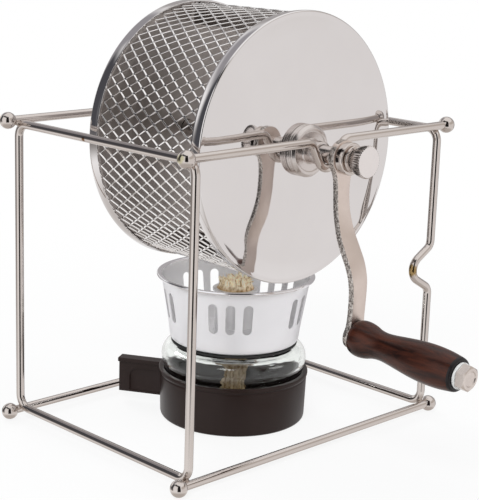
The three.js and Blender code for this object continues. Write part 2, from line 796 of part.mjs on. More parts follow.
// Wind shield: a spun cone with a rolled rim, standing on the gasket, with groups of upright slots
function windShield() {
  const bore = holderDiameter / 2 + seatGap;
  const footMiddle = shieldFootDiameter / 2 - shieldFootRound;
  const footHeight = shieldFloor + shieldFootRound;
  const throat = shieldThroatDiameter / 2;
  const throatHeight = shieldTop - shieldRimHeight;
  const rollMiddle = shieldRimDiameter / 2 - shieldRimRoll;
  const shell = turnedUpright([
    [bore, shieldFloor],
    ...arcPoints(footMiddle, footHeight, shieldFootRound, -90, 0, 2),
    [throat, throatHeight],
    ...arcPoints(rollMiddle, shieldTop - shieldRimRoll, shieldRimRoll, -60, 150, 4),
    [throat - shieldSheet, throatHeight],
    ...arcPoints(footMiddle, footHeight, shieldFootRound - shieldSheet, 0, -90, 1),
    [bore, shieldFloor + shieldSheet],
    [bore, shieldFloor],
  ], 30);
  const halfRun = slotLength / 2 - slotWidth / 2;
  const outline = new THREE.Shape([
    ...arcPoints(0, halfRun, slotWidth / 2, 0, 180, 3),
    ...arcPoints(0, -halfRun, slotWidth / 2, 180, 360, 3),
  ].map(([x, z]) => new THREE.Vector2(x, z)));
  const depth = rollMiddle + overrun - footMiddle;
  const slotMiddle = shieldTop - slotDrop - slotLength / 2;
  const slots = [];
  for (let group = 0; group < slotGroups; group += 1) {
    for (let i = 0; i < slotsPerGroup; i += 1) {
      const offset = (i - (slotsPerGroup - 1) / 2) * slotPitch;
      const angle = THREE.MathUtils.degToRad(slotTurn + 360 * group / slotGroups + offset);
      const tool = closedBody(new THREE.ExtrudeGeometry(outline, { depth, bevelEnabled: false }));
      tool.translate(0, 0, footMiddle).rotateX(Math.PI / 2).rotateZ(angle + Math.PI / 2);
      tool.translate(0, 0, slotMiddle);
      slots.push(tool);
    }
  }
  return cut(shell, ...slots);
}

// Wick holder: a tube through the neck, with a flange that clamps the shield and a lip round the wick
function wickHolder() {
  const outer = holderDiameter / 2;
  const bore = outer - holderWall;
  const foot = shieldFloor - holderDepth;
  const flangeBottom = shieldFloor + shieldSheet + seatGap;
  const flangeTop = flangeBottom + holderFlangeThickness;
  const top = shieldFloor + holderHeight;
  return turnedUpright([
    [bore, foot],
    [outer, foot],
    [outer, flangeBottom],
    [outer + holderFlangeWidth, flangeBottom],
    [outer + holderFlangeWidth, flangeTop],
    [outer, flangeTop],
    [outer, top - 2 * holderLipHeight],
    [outer + holderLipWidth, top - holderLipHeight],
    [outer + holderLipWidth, top],
    [bore, top],
    [bore, foot],
  ], 20);
}

// Wick: a cotton bundle in the holder, frayed and lumpy above it. Its outline is [share of height, of diameter].
const wickHeadShares = [[0, 0.92], [0.3, 1], [0.65, 0.97], [0.88, 0.72], [1, 0.3]];
const wickLumps = 5;
const wickLumpShare = 0.07;

function wick() {
  const stem = holderDiameter / 2 - holderWall - seatGap;
  const foot = baseFloor + seatGap + glassWall + wickDip;
  const lipTop = shieldFloor + holderHeight + seatGap;
  const head = wickHeadShares.map(([rise, across]) => [
    across * wickHeadDiameter / 2,
    lipTop + rise * wickHeadHeight,
  ]);
  const points = [[0, foot], [stem, foot], [stem, lipTop], ...head, [0, lipTop + wickHeadHeight]];
  const body = turnedUpright(points, 20);
  const place = body.getAttribute('position');
  for (let i = 0; i < place.count; i += 1) {
    const rise = place.getZ(i) - lipTop;
    if (rise > wickHeadHeight / 10) {
      const angle = Math.atan2(place.getY(i), place.getX(i));
      const swell = Math.cos(wickLumps * angle) + Math.cos((wickLumps - 2) * angle + rise) / 2;
      const scale = 1 + wickLumpShare * (swell - 1);
      place.setXY(i, place.getX(i) * scale, place.getY(i) * scale);
    }
  }
  return body;
}

// Assembly
function piece(name, geometry, material) {
  const mesh = new THREE.Mesh(geometry, material);
  mesh.name = name;
  return mesh;
}

const stand = new THREE.Group();
stand.add(
  piece('left_side_loop', sideLoop(-loopSpacing / 2, false), nickelWire),
  piece('right_side_loop', sideLoop(loopSpacing / 2, true), nickelWire),
  piece('front_top_rod', crossRod(-standDepth / 2, topRodHeight, true), nickelWire),
  piece('rear_top_rod', crossRod(standDepth / 2, topRodHeight, true), nickelWire),
  piece('front_bottom_rod', crossRod(-standDepth / 2, bottomRodHeight, false), nickelWire),
  piece('rear_bottom_rod', crossRod(standDepth / 2, bottomRodHeight, false), nickelWire),
);
for (const [depthName, y] of [['front', -standDepth / 2], ['rear', standDepth / 2]]) {
  for (const [heightName, z] of [['bottom', bottomRodHeight], ['top', topRodHeight]]) {
    for (const [sideName, side] of [['left', -1], ['right', 1]]) {
      const knob = piece(`${depthName}_${heightName}_${sideName}_ball`, ball(), chrome);
      knob.position.set(side * ballSpacing / 2, y, z);
      knob.rotation.z = side > 0 ? 0 : Math.PI;
      stand.add(knob);
    }
  }
}

const drum = new THREE.Group();
drum.position.z = axisHeight;
const frontEnd = new THREE.Group();
frontEnd.position.y = drumFront;
frontEnd.rotation.z = Math.PI;
const rearEnd = new THREE.Group();
rearEnd.position.y = drumBack;
for (const [name, end, bandWidth] of [['front', frontEnd, frontBandWidth], ['rear', rearEnd, rearBandWidth]]) {
  const endHub = piece(`${name}_hub`, hub(), castNickel);
  const endScrew = piece(`${name}_hub_set_screw`, setScrew(), chrome);
  endHub.position.y = seatGap;
  endScrew.position.y = seatGap;
  end.add(piece(`${name}_cap`, endCap(bandWidth), mirrorSteel), endHub, endScrew);
}
drum.add(
  frontEnd,
  rearEnd,
  piece('drum_mesh', expandedMesh(), meshSteel),
  piece('drum_shaft', shaft(), chrome),
  piece('crank_arm', crankArm(), castNickel),
  piece('crank_collar', crankCollar(), chrome),
  piece('thumb_nut', thumbNut(), castNickel),
);
for (let i = 0; i < vaneCount; i += 1) {
  const vane = piece(`lifting_vane_${i + 1}`, liftingVane(), meshSteel);
  vane.rotation.y = Math.PI / 2 + 2 * Math.PI * i / vaneCount;
  drum.add(vane);
}

const hand = new THREE.Group();
hand.position.set(0, gripSeat, -crankRadius);
hand.rotation.x = droopAngle;
hand.add(
  piece('wooden_grip', woodenGrip(), darkWood),
  piece('grip_washer', gripWasher(), whiteNylon),
  piece('grip_bolt', gripBolt(), castNickel),
);
drum.add(hand);

const burner = new THREE.Group();
burner.position.x = burnerShift;
burner.add(
  piece('burner_base', burnerBase(), brownPlastic),
  piece('glass_bowl', glassBowl(), clearGlass),
  piece('burner_gasket', gasket(), blackRubber),
  piece('wind_shield', windShield(), brightAluminium),
  piece('wick_holder', wickHolder(), brightAluminium),
  piece('wick', wick(), creamCotton),
);

const roaster = new THREE.Group();
roaster.add(stand, drum, burner);

export default roaster;
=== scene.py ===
# %% [markdown]
# # A hand-cranked coffee roaster
# A mesh drum lies by its shaft in the dips of a bent wire stand, over a small spirit burner, and a wooden
# grip on a bent arm turns it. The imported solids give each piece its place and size. This lesson makes what
# the eye sees: the round wire, the stretched mesh, the mirror caps, the moulded base, the glass and the
# frayed wick.

import math
import random

import bmesh
import bpy
from mathutils import Matrix, Vector


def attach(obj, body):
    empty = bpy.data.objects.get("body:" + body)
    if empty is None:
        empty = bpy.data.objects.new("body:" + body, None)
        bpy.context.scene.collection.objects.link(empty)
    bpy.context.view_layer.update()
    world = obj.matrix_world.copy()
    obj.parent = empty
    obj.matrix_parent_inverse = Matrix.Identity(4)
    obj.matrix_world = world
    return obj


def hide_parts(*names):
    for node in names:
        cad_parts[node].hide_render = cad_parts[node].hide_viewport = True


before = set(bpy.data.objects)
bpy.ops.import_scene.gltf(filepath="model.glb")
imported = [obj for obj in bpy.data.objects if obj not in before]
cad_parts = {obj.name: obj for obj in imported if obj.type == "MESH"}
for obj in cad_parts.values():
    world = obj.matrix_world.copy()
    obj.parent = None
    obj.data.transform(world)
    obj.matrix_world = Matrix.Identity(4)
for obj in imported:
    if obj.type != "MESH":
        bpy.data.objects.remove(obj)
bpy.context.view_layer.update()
mm = 0.001

# %% [markdown]
# ## Camera
# The photograph was taken from the front left, a little above the drum's shaft, with a long lens. The
# angles come from the stand: its wires run straight along X, Y and Z, so their slopes in the picture fix
# the camera. A slight roll belongs to it too. The lens is given for a 36 mm sensor along the picture's long
# side, which is upright here.

# %% Camera
ball_span = 181  # between the ball centres, from bottom to top, in mm
azimuth, elevation, roll = -0.77812, 0.23843, 0.03226
distance, shift_right, shift_up = 4.96716, 0.05619, 0.54768  # in ball spans

away = Vector((math.sin(azimuth) * math.cos(elevation), -math.cos(azimuth) * math.cos(elevation),
               math.sin(elevation)))
level = (-away).cross(Vector((0, 0, 1))).normalized()
upright = level.cross(-away)
right_hand = level * math.cos(roll) + upright * math.sin(roll)
overhead = upright * math.cos(roll) - level * math.sin(roll)
lower_balls = Vector((0, 0, 5 * mm))
eye = (away * distance + right_hand * shift_right + overhead * shift_up) * ball_span * mm + lower_balls

lens_data = bpy.data.cameras.new("camera")
lens_data.sensor_fit = "VERTICAL"
lens_data.sensor_height = 36
lens_data.lens = 102.43
camera = bpy.data.objects.new("camera", lens_data)
bpy.context.scene.collection.objects.link(camera)
camera.matrix_world = Matrix((
    (right_hand.x, overhead.x, away.x, eye.x),
    (right_hand.y, overhead.y, away.y, eye.y),
    (right_hand.z, overhead.z, away.z, eye.z),
    (0, 0, 0, 1),
))
bpy.context.scene.camera = camera
bpy.context.scene.view_settings.view_transform = "Standard"
print("camera at", [round(v, 3) for v in eye])

# %% [markdown]
# ## Edit mode helpers
# Each piece starts as a primitive that is shaped with the edit mode operators. An operator acts on all that
# is selected, so a helper first clears the selection, adds the primitive and settles its place in the mesh.
# Another one picks faces, edges or vertices by where they are.

# %% Helpers: begin a piece and pick its parts
def clear_selection():
    if bpy.context.mode != "OBJECT":
        bpy.ops.object.mode_set(mode="OBJECT")
    bpy.ops.object.select_all(action="DESELECT")


def select_only(*pieces):
    """Selects these pieces and makes the first one active."""
    clear_selection()
    for piece in pieces:
        piece.select_set(True)
    bpy.context.view_layer.objects.active = pieces[0]


def joined(*pieces):
    """Joins the pieces into the first one."""
    select_only(*pieces)
    bpy.ops.object.join()
    return pieces[0]


def begin(primitive, **settings):
    clear_selection()
    primitive(**settings)
    bpy.ops.object.transform_apply(location=True, rotation=True, scale=True)
    bpy.ops.object.mode_set(mode="EDIT")
    bpy.ops.mesh.select_mode(type="VERT")
    bpy.ops.mesh.select_all(action="SELECT")
    return bpy.context.object


def pick(kind, wanted):
    """Selects what wanted(place, direction) asks for: its middle in mm, and its normal or an edge's run."""
    bpy.ops.mesh.select_mode(type=kind)
    bpy.ops.mesh.select_all(action="DESELECT")
    mesh = bmesh.from_edit_mesh(bpy.context.object.data)
    if kind == "FACE":
        found = [(f, f.calc_center_median() / mm, f.normal) for f in mesh.faces]
    elif kind == "EDGE":
        found = [(e, (e.verts[0].co + e.verts[1].co) / (2 * mm), (e.verts[1].co - e.verts[0].co).normalized())
                 for e in mesh.edges]
    else:
        found = [(v, v.co / mm, v.normal) for v in mesh.verts]
    for part, place, direction in found:
        if wanted(place, direction):
            part.select_set(True)
    mesh.select_flush(True)
    bmesh.update_edit_mesh(bpy.context.object.data)


def tidy(gap=0.002):
    bpy.ops.mesh.select_all(action="SELECT")
    bpy.ops.mesh.remove_doubles(threshold=gap * mm)
    bpy.ops.mesh.normals_make_consistent(inside=False)


def modified(piece, kind, **settings):
    """Adds one modifier with these settings and applies it."""
    select_only(piece)
    bpy.ops.object.modifier_add(type=kind)
    modifier = piece.modifiers[-1]
    for name, value in settings.items():
        setattr(modifier, name, value)
    bpy.ops.object.modifier_apply(modifier=modifier.name)


# %% [markdown]
# A finished piece gets its name, its material and soft shading across its shallow edges. It rides on the
# body that carries it, and the rough solid that it stands for is hidden.

# %% Helper: finish a piece
def finish_piece(piece, name, body, material, nodes, angle=35):
    select_only(piece)
    piece.name = name
    piece.data.name = name
    if not piece.data.materials:
        piece.data.materials.append(material)
    bpy.ops.object.shade_smooth_by_angle(angle=math.radians(angle))
    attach(piece, body)
    if nodes:
        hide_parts(*nodes)
    print(f"{name}: {len(piece.data.polygons)} faces")


# %% [markdown]
# ## Turned pieces
# Caps, hubs, the grip, the glass and the wind shield are all round about an axis. On a lathe a tool follows
# an outline. Here one vertex is extruded along the outline, and the Spin operator carries it round. The
# corners are rounded in the outline itself, because that keeps the edge rings even.

# %% Helpers: rounded outlines and turned pieces
def rounded(points, closed=True, steps=4):
    """Outline points as (radius, along) or (radius, along, bend): a bend rounds that corner."""
    outline = []
    for i, (r, a, *bend) in enumerate(points):
        here = Vector((r, a))
        if not bend or (not closed and i in (0, len(points) - 1)):
            outline.append(here)
            continue
        back = Vector(points[i - 1][:2]) - here
        ahead = Vector(points[(i + 1) % len(points)][:2]) - here
        half = back.angle(ahead) / 2
        reach = min(bend[0] / math.tan(half), 0.49 * back.length, 0.49 * ahead.length)
        back.normalize()
        ahead.normalize()
        centre = here + (back + ahead).normalized() * reach / math.cos(half)
        start, end = here + back * reach - centre, here + ahead * reach - centre
        sweep = start.angle(end)
        for k in range(steps + 1):
            t = k / steps
            turned_part = start * math.sin((1 - t) * sweep) + end * math.sin(t * sweep)
            outline.append(centre + turned_part / math.sin(sweep))
    return outline + ([outline[0]] if closed else [])


def turned(outline, centre, along, out, steps):
    """Spins an outline of (radius, distance along) points, in mm, about the line through centre."""
    centre, along, out = Vector(centre), Vector(along), Vector(out)
    places = [(centre + out * p[0] + along * p[1]) * mm for p in outline]
    piece = begin(bpy.ops.mesh.primitive_circle_add, vertices=3, radius=mm)
    bpy.ops.mesh.merge(type="CENTER")
    bpy.ops.transform.translate(value=places[0])
    for before, after in zip(places, places[1:]):
        bpy.ops.mesh.extrude_vertices_move(TRANSFORM_OT_translate={"value": after - before})
    bpy.ops.mesh.select_all(action="SELECT")
    bpy.ops.mesh.spin(steps=steps, angle=2 * math.pi, center=centre * mm, axis=along)
    tidy()
    bpy.ops.object.mode_set(mode="OBJECT")
    return piece


axle = 178  # height of the drum's shaft
across, inward, upward = Vector((1, 0, 0)), Vector((0, 1, 0)), Vector((0, 0, 1))


def turned_on_axle(outline, steps=96):
    return turned(outline, (0, 0, axle), inward, across, steps)


burner_place = (7.5, 0, 0)


def turned_on_burner(outline, steps=96):
    return turned(outline, burner_place, upward, across, steps)


# %% [markdown]
# ## Shared effects
# Metal and plastic that people handle are never one even colour. One node group gives them their slow
# blotches and their fine grain, each with its own scale and strength. A second one gives the rings that a
# lathe or a polishing wheel leaves: it reads how far a place is from the axis, so the rings follow the
# piece.

# %% Effect: handled surface
def effect(name, inputs, outputs):
    group = bpy.data.node_groups.new(name, "ShaderNodeTree")
    for title, kind, value in inputs:
        group.interface.new_socket(name=title, in_out="INPUT", socket_type=kind).default_value = value
    for title, kind in outputs:
        group.interface.new_socket(name=title, in_out="OUTPUT", socket_type=kind)
    return group, group.nodes.new("NodeGroupInput"), group.nodes.new("NodeGroupOutput")


def add(tree, kind, links=(), **settings):
    """Adds a node, sets it, and links (socket name or number, source socket) pairs into it."""
    node = tree.nodes.new(kind)
    for name, value in settings.items():
        setattr(node, name, value)
    for socket, source in links:
        if hasattr(source, "links"):
            tree.links.new(source, node.inputs[socket])
        else:
            node.inputs[socket].default_value = source
    return node


def calc(tree, operation, *values, **settings):
    """One Math node on these values or sockets."""
    return add(tree, "ShaderNodeMath", enumerate(values), operation=operation, **settings).outputs[0]


def remap(tree, value, start=0.0, stop=1.0, low=0.0, high=1.0, smooth=False):
    """Takes what lies from start to stop to between low and high."""
    limits = [("From Min", start), ("From Max", stop), ("To Min", low), ("To Max", high)]
    return add(tree, "ShaderNodeMapRange", [("Value", value)] + limits,
               interpolation_type="SMOOTHSTEP" if smooth else "LINEAR").outputs["Result"]


def mixed(tree, factor, first, second, **settings):
    """Mixes two colours; 6 and 7 are the Mix node's colour sockets."""
    return add(tree, "ShaderNodeMix", [("Factor", factor), (6, first), (7, second)], data_type="RGBA",
               **settings).outputs[2]


FLOAT, COLOUR, VECTOR = "NodeSocketFloat", "NodeSocketColor", "NodeSocketVector"

handled, enter, leave = effect(
    "Handled surface",
    [("Colour", COLOUR, (0.5, 0.5, 0.5, 1)), ("Blotch colour", COLOUR, (0.4, 0.4, 0.4, 1)),
     ("Roughness", FLOAT, 0.3), ("Blotch scale", FLOAT, 40.0), ("Grain scale", FLOAT, 900.0),
     ("Blotch strength", FLOAT, 0.5), ("Roughness spread", FLOAT, 0.1)],
    [("Colour", COLOUR), ("Roughness", FLOAT), ("Height", FLOAT)])
place = add(handled, "ShaderNodeTexCoord").outputs["Object"]
blotch = add(handled, "ShaderNodeTexNoise",
             [("Vector", place), ("Scale", enter.outputs["Blotch scale"]), ("Detail", 4.0),
              ("Roughness", 0.6)])
grain = add(handled, "ShaderNodeTexNoise",
            [("Vector", place), ("Scale", enter.outputs["Grain scale"]), ("Detail", 2.0)])
spread = remap(handled, blotch.outputs["Fac"], 0.35, 0.7)
amount = calc(handled, "MULTIPLY", spread, enter.outputs["Blotch strength"])
tint = mixed(handled, amount, enter.outputs["Colour"], enter.outputs["Blotch colour"])
handled.links.new(tint, leave.inputs["Colour"])
uneven = calc(handled, "ADD", blotch.outputs["Fac"], grain.outputs["Fac"])
centred = calc(handled, "SUBTRACT", uneven, 1.0)
rough = calc(handled, "MULTIPLY_ADD", centred, enter.outputs["Roughness spread"], enter.outputs["Roughness"],
             use_clamp=True)
handled.links.new(rough, leave.inputs["Roughness"])
handled.links.new(grain.outputs["Fac"], leave.inputs["Height"])
print("effect:", handled.name)

# %% Effect: turning rings
rings, enter, leave = effect(
    "Turning rings",
    [("Place", VECTOR, (0, 0, 0)), ("Ring scale", FLOAT, 1500.0), ("Height", FLOAT, 0.0),
     ("Ring share", FLOAT, 0.5)],
    [("Height", FLOAT)])
split = add(rings, "ShaderNodeSeparateXYZ", [(0, enter.outputs["Place"])])
flat = add(rings, "ShaderNodeCombineXYZ", [(0, split.outputs[0]), (1, split.outputs[1])])
radius = add(rings, "ShaderNodeVectorMath", [(0, flat.outputs[0])], operation="LENGTH")
reading = add(rings, "ShaderNodeCombineXYZ", [(0, radius.outputs["Value"]), (2, split.outputs[2])])
lines = add(rings, "ShaderNodeTexNoise",
            [("Vector", reading.outputs[0]), ("Scale", enter.outputs["Ring scale"]), ("Detail", 3.0),
             ("Roughness", 0.7)])
share = calc(rings, "MULTIPLY", lines.outputs["Fac"], enter.outputs["Ring share"])
total = calc(rings, "ADD", share, enter.outputs["Height"])
rings.links.new(total, leave.inputs["Height"])
print("effect:", rings.name)

# %% [markdown]
# A third group gives a ragged round mask about one place, and the plating's finish uses it three times: for
# two brown spots, on the right loop's front cradle and on the left loop's top wire, and for a yellowish
# painted reflection on the outer side of the front top left ball.

# %% Effect: ragged round spot
spots_group, enter, leave = effect("Ragged round spot", [("Centre", VECTOR, (0, 0, 0)), ("Size", FLOAT, 0.003)],
                                   [("Mask", FLOAT)])
place = add(spots_group, "ShaderNodeTexCoord").outputs["Object"]
apart = add(spots_group, "ShaderNodeVectorMath", [(0, place), (1, enter.outputs["Centre"])],
            operation="DISTANCE").outputs["Value"]
ragged = add(spots_group, "ShaderNodeTexNoise", [("Vector", place), ("Scale", 700.0), ("Detail", 3.0)])
share = calc(spots_group, "DIVIDE", apart, enter.outputs["Size"])
edge = calc(spots_group, "MULTIPLY_ADD", ragged.outputs["Fac"], 0.9, share)
spots_group.links.new(remap(spots_group, edge, 1.5, 1.1), leave.inputs["Mask"])
print("effect:", spots_group.name)

# %% [markdown]
# ## Finishes
# Every finish of the object is a Principled shader. What is the same all over, such as how metallic it is
# or its clear coat, is set on the shader's own sockets. For metal, plastic and rubber the groups feed its
# colour, roughness and bump. Wood, cotton and glass have a noise of their own instead, drawn out along the
# grain, the threads or the waves.

# %% Helpers: new material, bump, stretched noise and colour ramp
def new_material(name, **shader_values):
    """A material with these values on its shader's sockets; _ stands for a space in a socket's name."""
    material = bpy.data.materials.new(name)
    material.use_nodes = True
    shader = material.node_tree.nodes["Principled BSDF"]
    for socket, value in shader_values.items():
        shader.inputs[socket.replace("_", " ")].default_value = value
    return material, material.node_tree, shader


def bumped(tree, shader, height, strength, distance):
    relief = add(tree, "ShaderNodeBump", [("Height", height), ("Strength", strength), ("Distance", distance)])
    tree.links.new(relief.outputs[0], shader.inputs["Normal"])


def stretched_noise(tree, scale, **values):
    """A noise that is drawn out along the axes whose scale is small."""
    spot = add(tree, "ShaderNodeTexCoord").outputs["Object"]
    moved = add(tree, "ShaderNodeMapping", [("Vector", spot), ("Scale", scale)]).outputs[0]
    noise = add(tree, "ShaderNodeTexNoise", [("Vector", moved), ("Scale", 1.0), *values.items()])
    return noise.outputs["Fac"]


def ramp(tree, source, *stops):
    """Turns a value into a colour: (position, colour) stops, from low to high."""
    node = add(tree, "ShaderNodeValToRGB", [("Fac", source)])
    elements = node.color_ramp.elements
    for i, (position, colour) in enumerate((stops[0], stops[-1])):
        elements[i].position = position
        elements[i].color = (*colour, 1)
    for position, colour in stops[1:-1]:
        elements.new(position).color = (*colour, 1)
    return node.outputs[0]


# %% Helper: build a finish
def finish(name, colour, blotch_colour, roughness, bump=0.1, bump_distance=0.00005, blotch_scale=40.0,
           grain_scale=900.0, strength=0.5, spread=0.1, turned_about=None, ring_scale=1500.0, ring_share=0.6,
           coloured_spots=(), **shader_values):
    material, tree, shader = new_material(name, **shader_values)
    group = add(tree, "ShaderNodeGroup", node_tree=handled)
    values = {"Colour": (*colour, 1), "Blotch colour": (*blotch_colour, 1), "Roughness": roughness,
              "Blotch scale": blotch_scale, "Grain scale": grain_scale, "Blotch strength": strength,
              "Roughness spread": spread}
    for socket, value in values.items():
        group.inputs[socket].default_value = value
    shown = group.outputs["Colour"]
    for centre, size, spot_colour in coloured_spots:
        spot_mask = add(tree, "ShaderNodeGroup", node_tree=spots_group)
        spot_mask.inputs["Centre"].default_value = Vector(centre) * mm
        spot_mask.inputs["Size"].default_value = size * mm
        shown = mixed(tree, spot_mask.outputs["Mask"], shown, (*spot_colour, 1))
    tree.links.new(shown, shader.inputs["Base Color"])
    tree.links.new(group.outputs["Roughness"], shader.inputs["Roughness"])
    height = group.outputs["Height"]
    if turned_about:
        centre, turn = turned_about
        spot = add(tree, "ShaderNodeTexCoord").outputs["Object"]
        moved = add(tree, "ShaderNodeMapping", [("Vector", spot)], vector_type="TEXTURE")
        moved.inputs["Location"].default_value = Vector(centre) * mm
        moved.inputs["Rotation"].default_value = turn
        marks = add(tree, "ShaderNodeGroup", node_tree=rings)
        marks.inputs["Ring scale"].default_value = ring_scale
        marks.inputs["Ring share"].default_value = ring_share
        tree.links.new(moved.outputs[0], marks.inputs["Place"])
        tree.links.new(height, marks.inputs["Height"])
        height = marks.outputs["Height"]
    bumped(tree, shader, height, bump, bump_distance)
    return material


about_axle = ((0, 0, axle), (math.pi / 2, 0, 0))
about_burner = (burner_place, (0, 0, 0))
droop = math.radians(3)
grip_root = (0, -106.75, 77.4)
about_grip = (grip_root, (math.pi / 2 + droop, 0, 0))

# %% Finishes: metals
# Two brown spots, on the right loop's front cradle and the left loop's top wire; the third, yellowish on the
# front top left ball, is a painted reflection.
spots_and_painted_reflection = [((82.3, -78.2, 97), 4.5, (0.36, 0.25, 0.11)),
                   ((-102.6, 13.5, 183.2), 1.6, (0.22, 0.12, 0.06)),
                   ((-112.6, -78.4, 186.8), 3.0, (0.56, 0.52, 0.36))]
bright_nickel = finish("bright nickel", (0.69, 0.635, 0.60), (0.58, 0.53, 0.495), 0.10, strength=0.35,
                       bump=0.04, coloured_spots=spots_and_painted_reflection, Metallic=1.0, spread=0.06)
mirror_steel = finish("mirror steel", (0.815, 0.795, 0.79), (0.765, 0.74, 0.735), 0.035, bump=0.012,
                      blotch_scale=14.0, strength=0.6, spread=0.03, turned_about=about_axle, ring_scale=700.0,
                      Metallic=1.0)
inside_steel = finish("dull inside steel", (0.46, 0.425, 0.405), (0.34, 0.31, 0.295), 0.36, blotch_scale=25.0,
                      Metallic=1.0, turned_about=about_axle)
mesh_steel = finish("expanded mesh", (1.0, 0.99, 0.98), (0.88, 0.86, 0.85), 0.12, blotch_scale=120.0,
                    Metallic=1.0)
turned_steel = finish("turned steel", (0.73, 0.68, 0.655), (0.60, 0.555, 0.53), 0.24, bump=0.16,
                      bump_distance=0.00006, turned_about=about_axle, Metallic=1.0)
bolt_steel = finish("bolt steel", (0.80, 0.73, 0.685), (0.62, 0.56, 0.52), 0.25, bump=0.14,
                    bump_distance=0.00006, blotch_scale=220.0, turned_about=about_grip, Metallic=1.0)
satin_steel = finish("satin steel face", (0.90, 0.86, 0.845), (0.83, 0.79, 0.775), 0.33, bump=0.05,
                     Metallic=1.0)
warm_nickel = finish("warm satin nickel", (0.83, 0.73, 0.67), (0.72, 0.62, 0.56), 0.38, blotch_scale=60.0,
                     Metallic=1.0)
rough_edge = finish("rough cast edge", (0.15, 0.125, 0.11), (1.0, 0.95, 0.90), 0.32, bump=1.0,
                    bump_distance=0.0004, blotch_scale=820.0, grain_scale=700.0, strength=1.0, spread=0.3,
                    Metallic=1.0)
spun_aluminium = finish("spun aluminium", (0.89, 0.885, 0.905), (0.83, 0.825, 0.85), 0.30, bump=0.012,
                        blotch_scale=30.0, spread=0.03, turned_about=about_burner, ring_scale=500.0,
                        Metallic=0.6)
inner_aluminium = finish("pale inside aluminium", (0.97, 0.965, 0.975), (0.93, 0.925, 0.935), 0.36,
                         bump=0.012, blotch_scale=30.0, spread=0.03, Metallic=0.35)
polished_aluminium = finish("polished aluminium", (0.93, 0.925, 0.95), (0.86, 0.855, 0.89), 0.13, bump=0.012,
                            blotch_scale=30.0, spread=0.03, Metallic=1.0)
braze = finish("braze", (0.40, 0.32, 0.27), (0.62, 0.57, 0.53), 0.30, bump=0.4, bump_distance=0.0002,
               blotch_scale=300.0, strength=1.0, Metallic=1.0)
print("metals:", len(bpy.data.materials))

# %% Finishes: plastic, rubber, nylon
brown_plastic = finish("brown moulding", (0.021, 0.0115, 0.0098), (0.0155, 0.0085, 0.0072), 0.32, bump=0.05,
                       blotch_scale=30.0, strength=0.6, Specular_IOR_Level=0.22)
black_rubber = finish("black rubber", (0.012, 0.012, 0.012), (0.03, 0.03, 0.03), 0.6, bump=0.3)
near_black_grip_end = finish("near black grip end", (0.006, 0.005, 0.006), (0.012, 0.009, 0.010), 0.30, bump=0.05,
                       Specular_IOR_Level=0.3)
white_nylon = finish("white nylon", (0.78, 0.78, 0.77), (0.68, 0.68, 0.67), 0.4)

# %% [markdown]
# ## Lacquered wood
# The grip is turned from a dark hardwood and lacquered. Its grain runs along the grip, so a noise that is
# squeezed across the grip and stretched along it draws the streaks. The lacquer is a clear coat over a
# softer base.

# %% Finish: lacquered wood
wood, tree, shader = new_material("lacquered wood", Coat_Roughness=0.22, Coat_Weight=0.25,
                                  Specular_IOR_Level=0.18)
streaks = stretched_noise(tree, (260, 38, 260), Detail=6.0, Roughness=0.65, Distortion=0.4)
grain_colours = ramp(tree, streaks, (0.36, (0.014, 0.005, 0.004)), (0.78, (0.088, 0.022, 0.010)))
tree.links.new(grain_colours, shader.inputs["Base Color"])
tree.links.new(remap(tree, streaks, low=0.24, high=0.38), shader.inputs["Roughness"])
bumped(tree, shader, streaks, 0.12, 0.0001)
print("finish:", wood.name)

# %% [markdown]
# ## Frayed cotton
# The wick's cotton is cream. Brown streaks along its threads are painted shade for the hollows between them,
# and a brown band at the foot of the head is painted shade too. In the bowl it is darker: it is soaked there,
# and the darkening is painted shade as well. Its threads run upright, so a noise that is squeezed across them
# draws them. A faint glow in the cotton's own colour is painted light, which brightens the wick in the drum's
# shade.

# %% Finish: cream cotton
# The emission strength is painted light: the cotton glows faintly so that it looks brighter.
cream_cotton, tree, shader = new_material("cream cotton", Roughness=0.95, Specular_IOR_Level=0.1,
                                          Emission_Strength=0.16)
threads = stretched_noise(tree, (480, 480, 90), Detail=3.0, Roughness=0.6, Distortion=0.6)
# Painted shade: the brown end of this ramp stands for the shade in the hollows between the threads.
threads_with_painted_shade = ramp(tree, threads, (0.36, (0.44, 0.30, 0.14)), (0.54, (1.0, 0.91, 0.72)))
spot = add(tree, "ShaderNodeTexCoord").outputs["Object"]
height_in_wick = add(tree, "ShaderNodeSeparateXYZ", [(0, spot)]).outputs[2]
# Painted shade: the colour darkens below the head's top, at its foot and in the bowl, where the cotton is
# also soaked.
soaked_and_painted_shade = ramp(tree, remap(tree, height_in_wick, 0.040, 0.090), (0.0, (0.36, 0.31, 0.25)),
              (0.82, (0.60, 0.42, 0.24)), (0.90, (1.0, 1.0, 1.0)))
cotton_colour = mixed(tree, 1.0, threads_with_painted_shade, soaked_and_painted_shade, blend_type="MULTIPLY")
tree.links.new(cotton_colour, shader.inputs["Base Color"])
# Painted light: the cotton's colour also feeds its glow.
tree.links.new(cotton_colour, shader.inputs["Emission Color"])
bumped(tree, shader, threads, 0.6, 0.0004)
print("finish:", cream_cotton.name)

# %% Finish: clear glass
clear_glass, tree, shader = new_material("clear glass", Base_Color=(0.93, 0.945, 0.93, 1),
                                         Transmission_Weight=1.0, IOR=1.47)
waves = stretched_noise(tree, (55, 55, 240), Detail=2.0)
tree.links.new(remap(tree, waves, high=0.05), shader.inputs["Roughness"])
bumped(tree, shader, waves, 0.35, 0.0006)
print("finishes:", len(bpy.data.materials))

# %% [markdown]
# ## Studio
# The floor and the world are white for the camera and through the glass. Chrome shows nothing but its
# surroundings, so the world also holds boards as they stand round a photographer's table, placed to give
# the reflections of the photograph. Only reflections see them: a pale board to the front right, which fills
# the drum's mirror, with a greyer one over it, grey ones to the right and behind, and dark ones at the rear
# left, the left and the front left. The dark ones draw the lines along the wires. Each is a soft-edged
# window in heading and height.

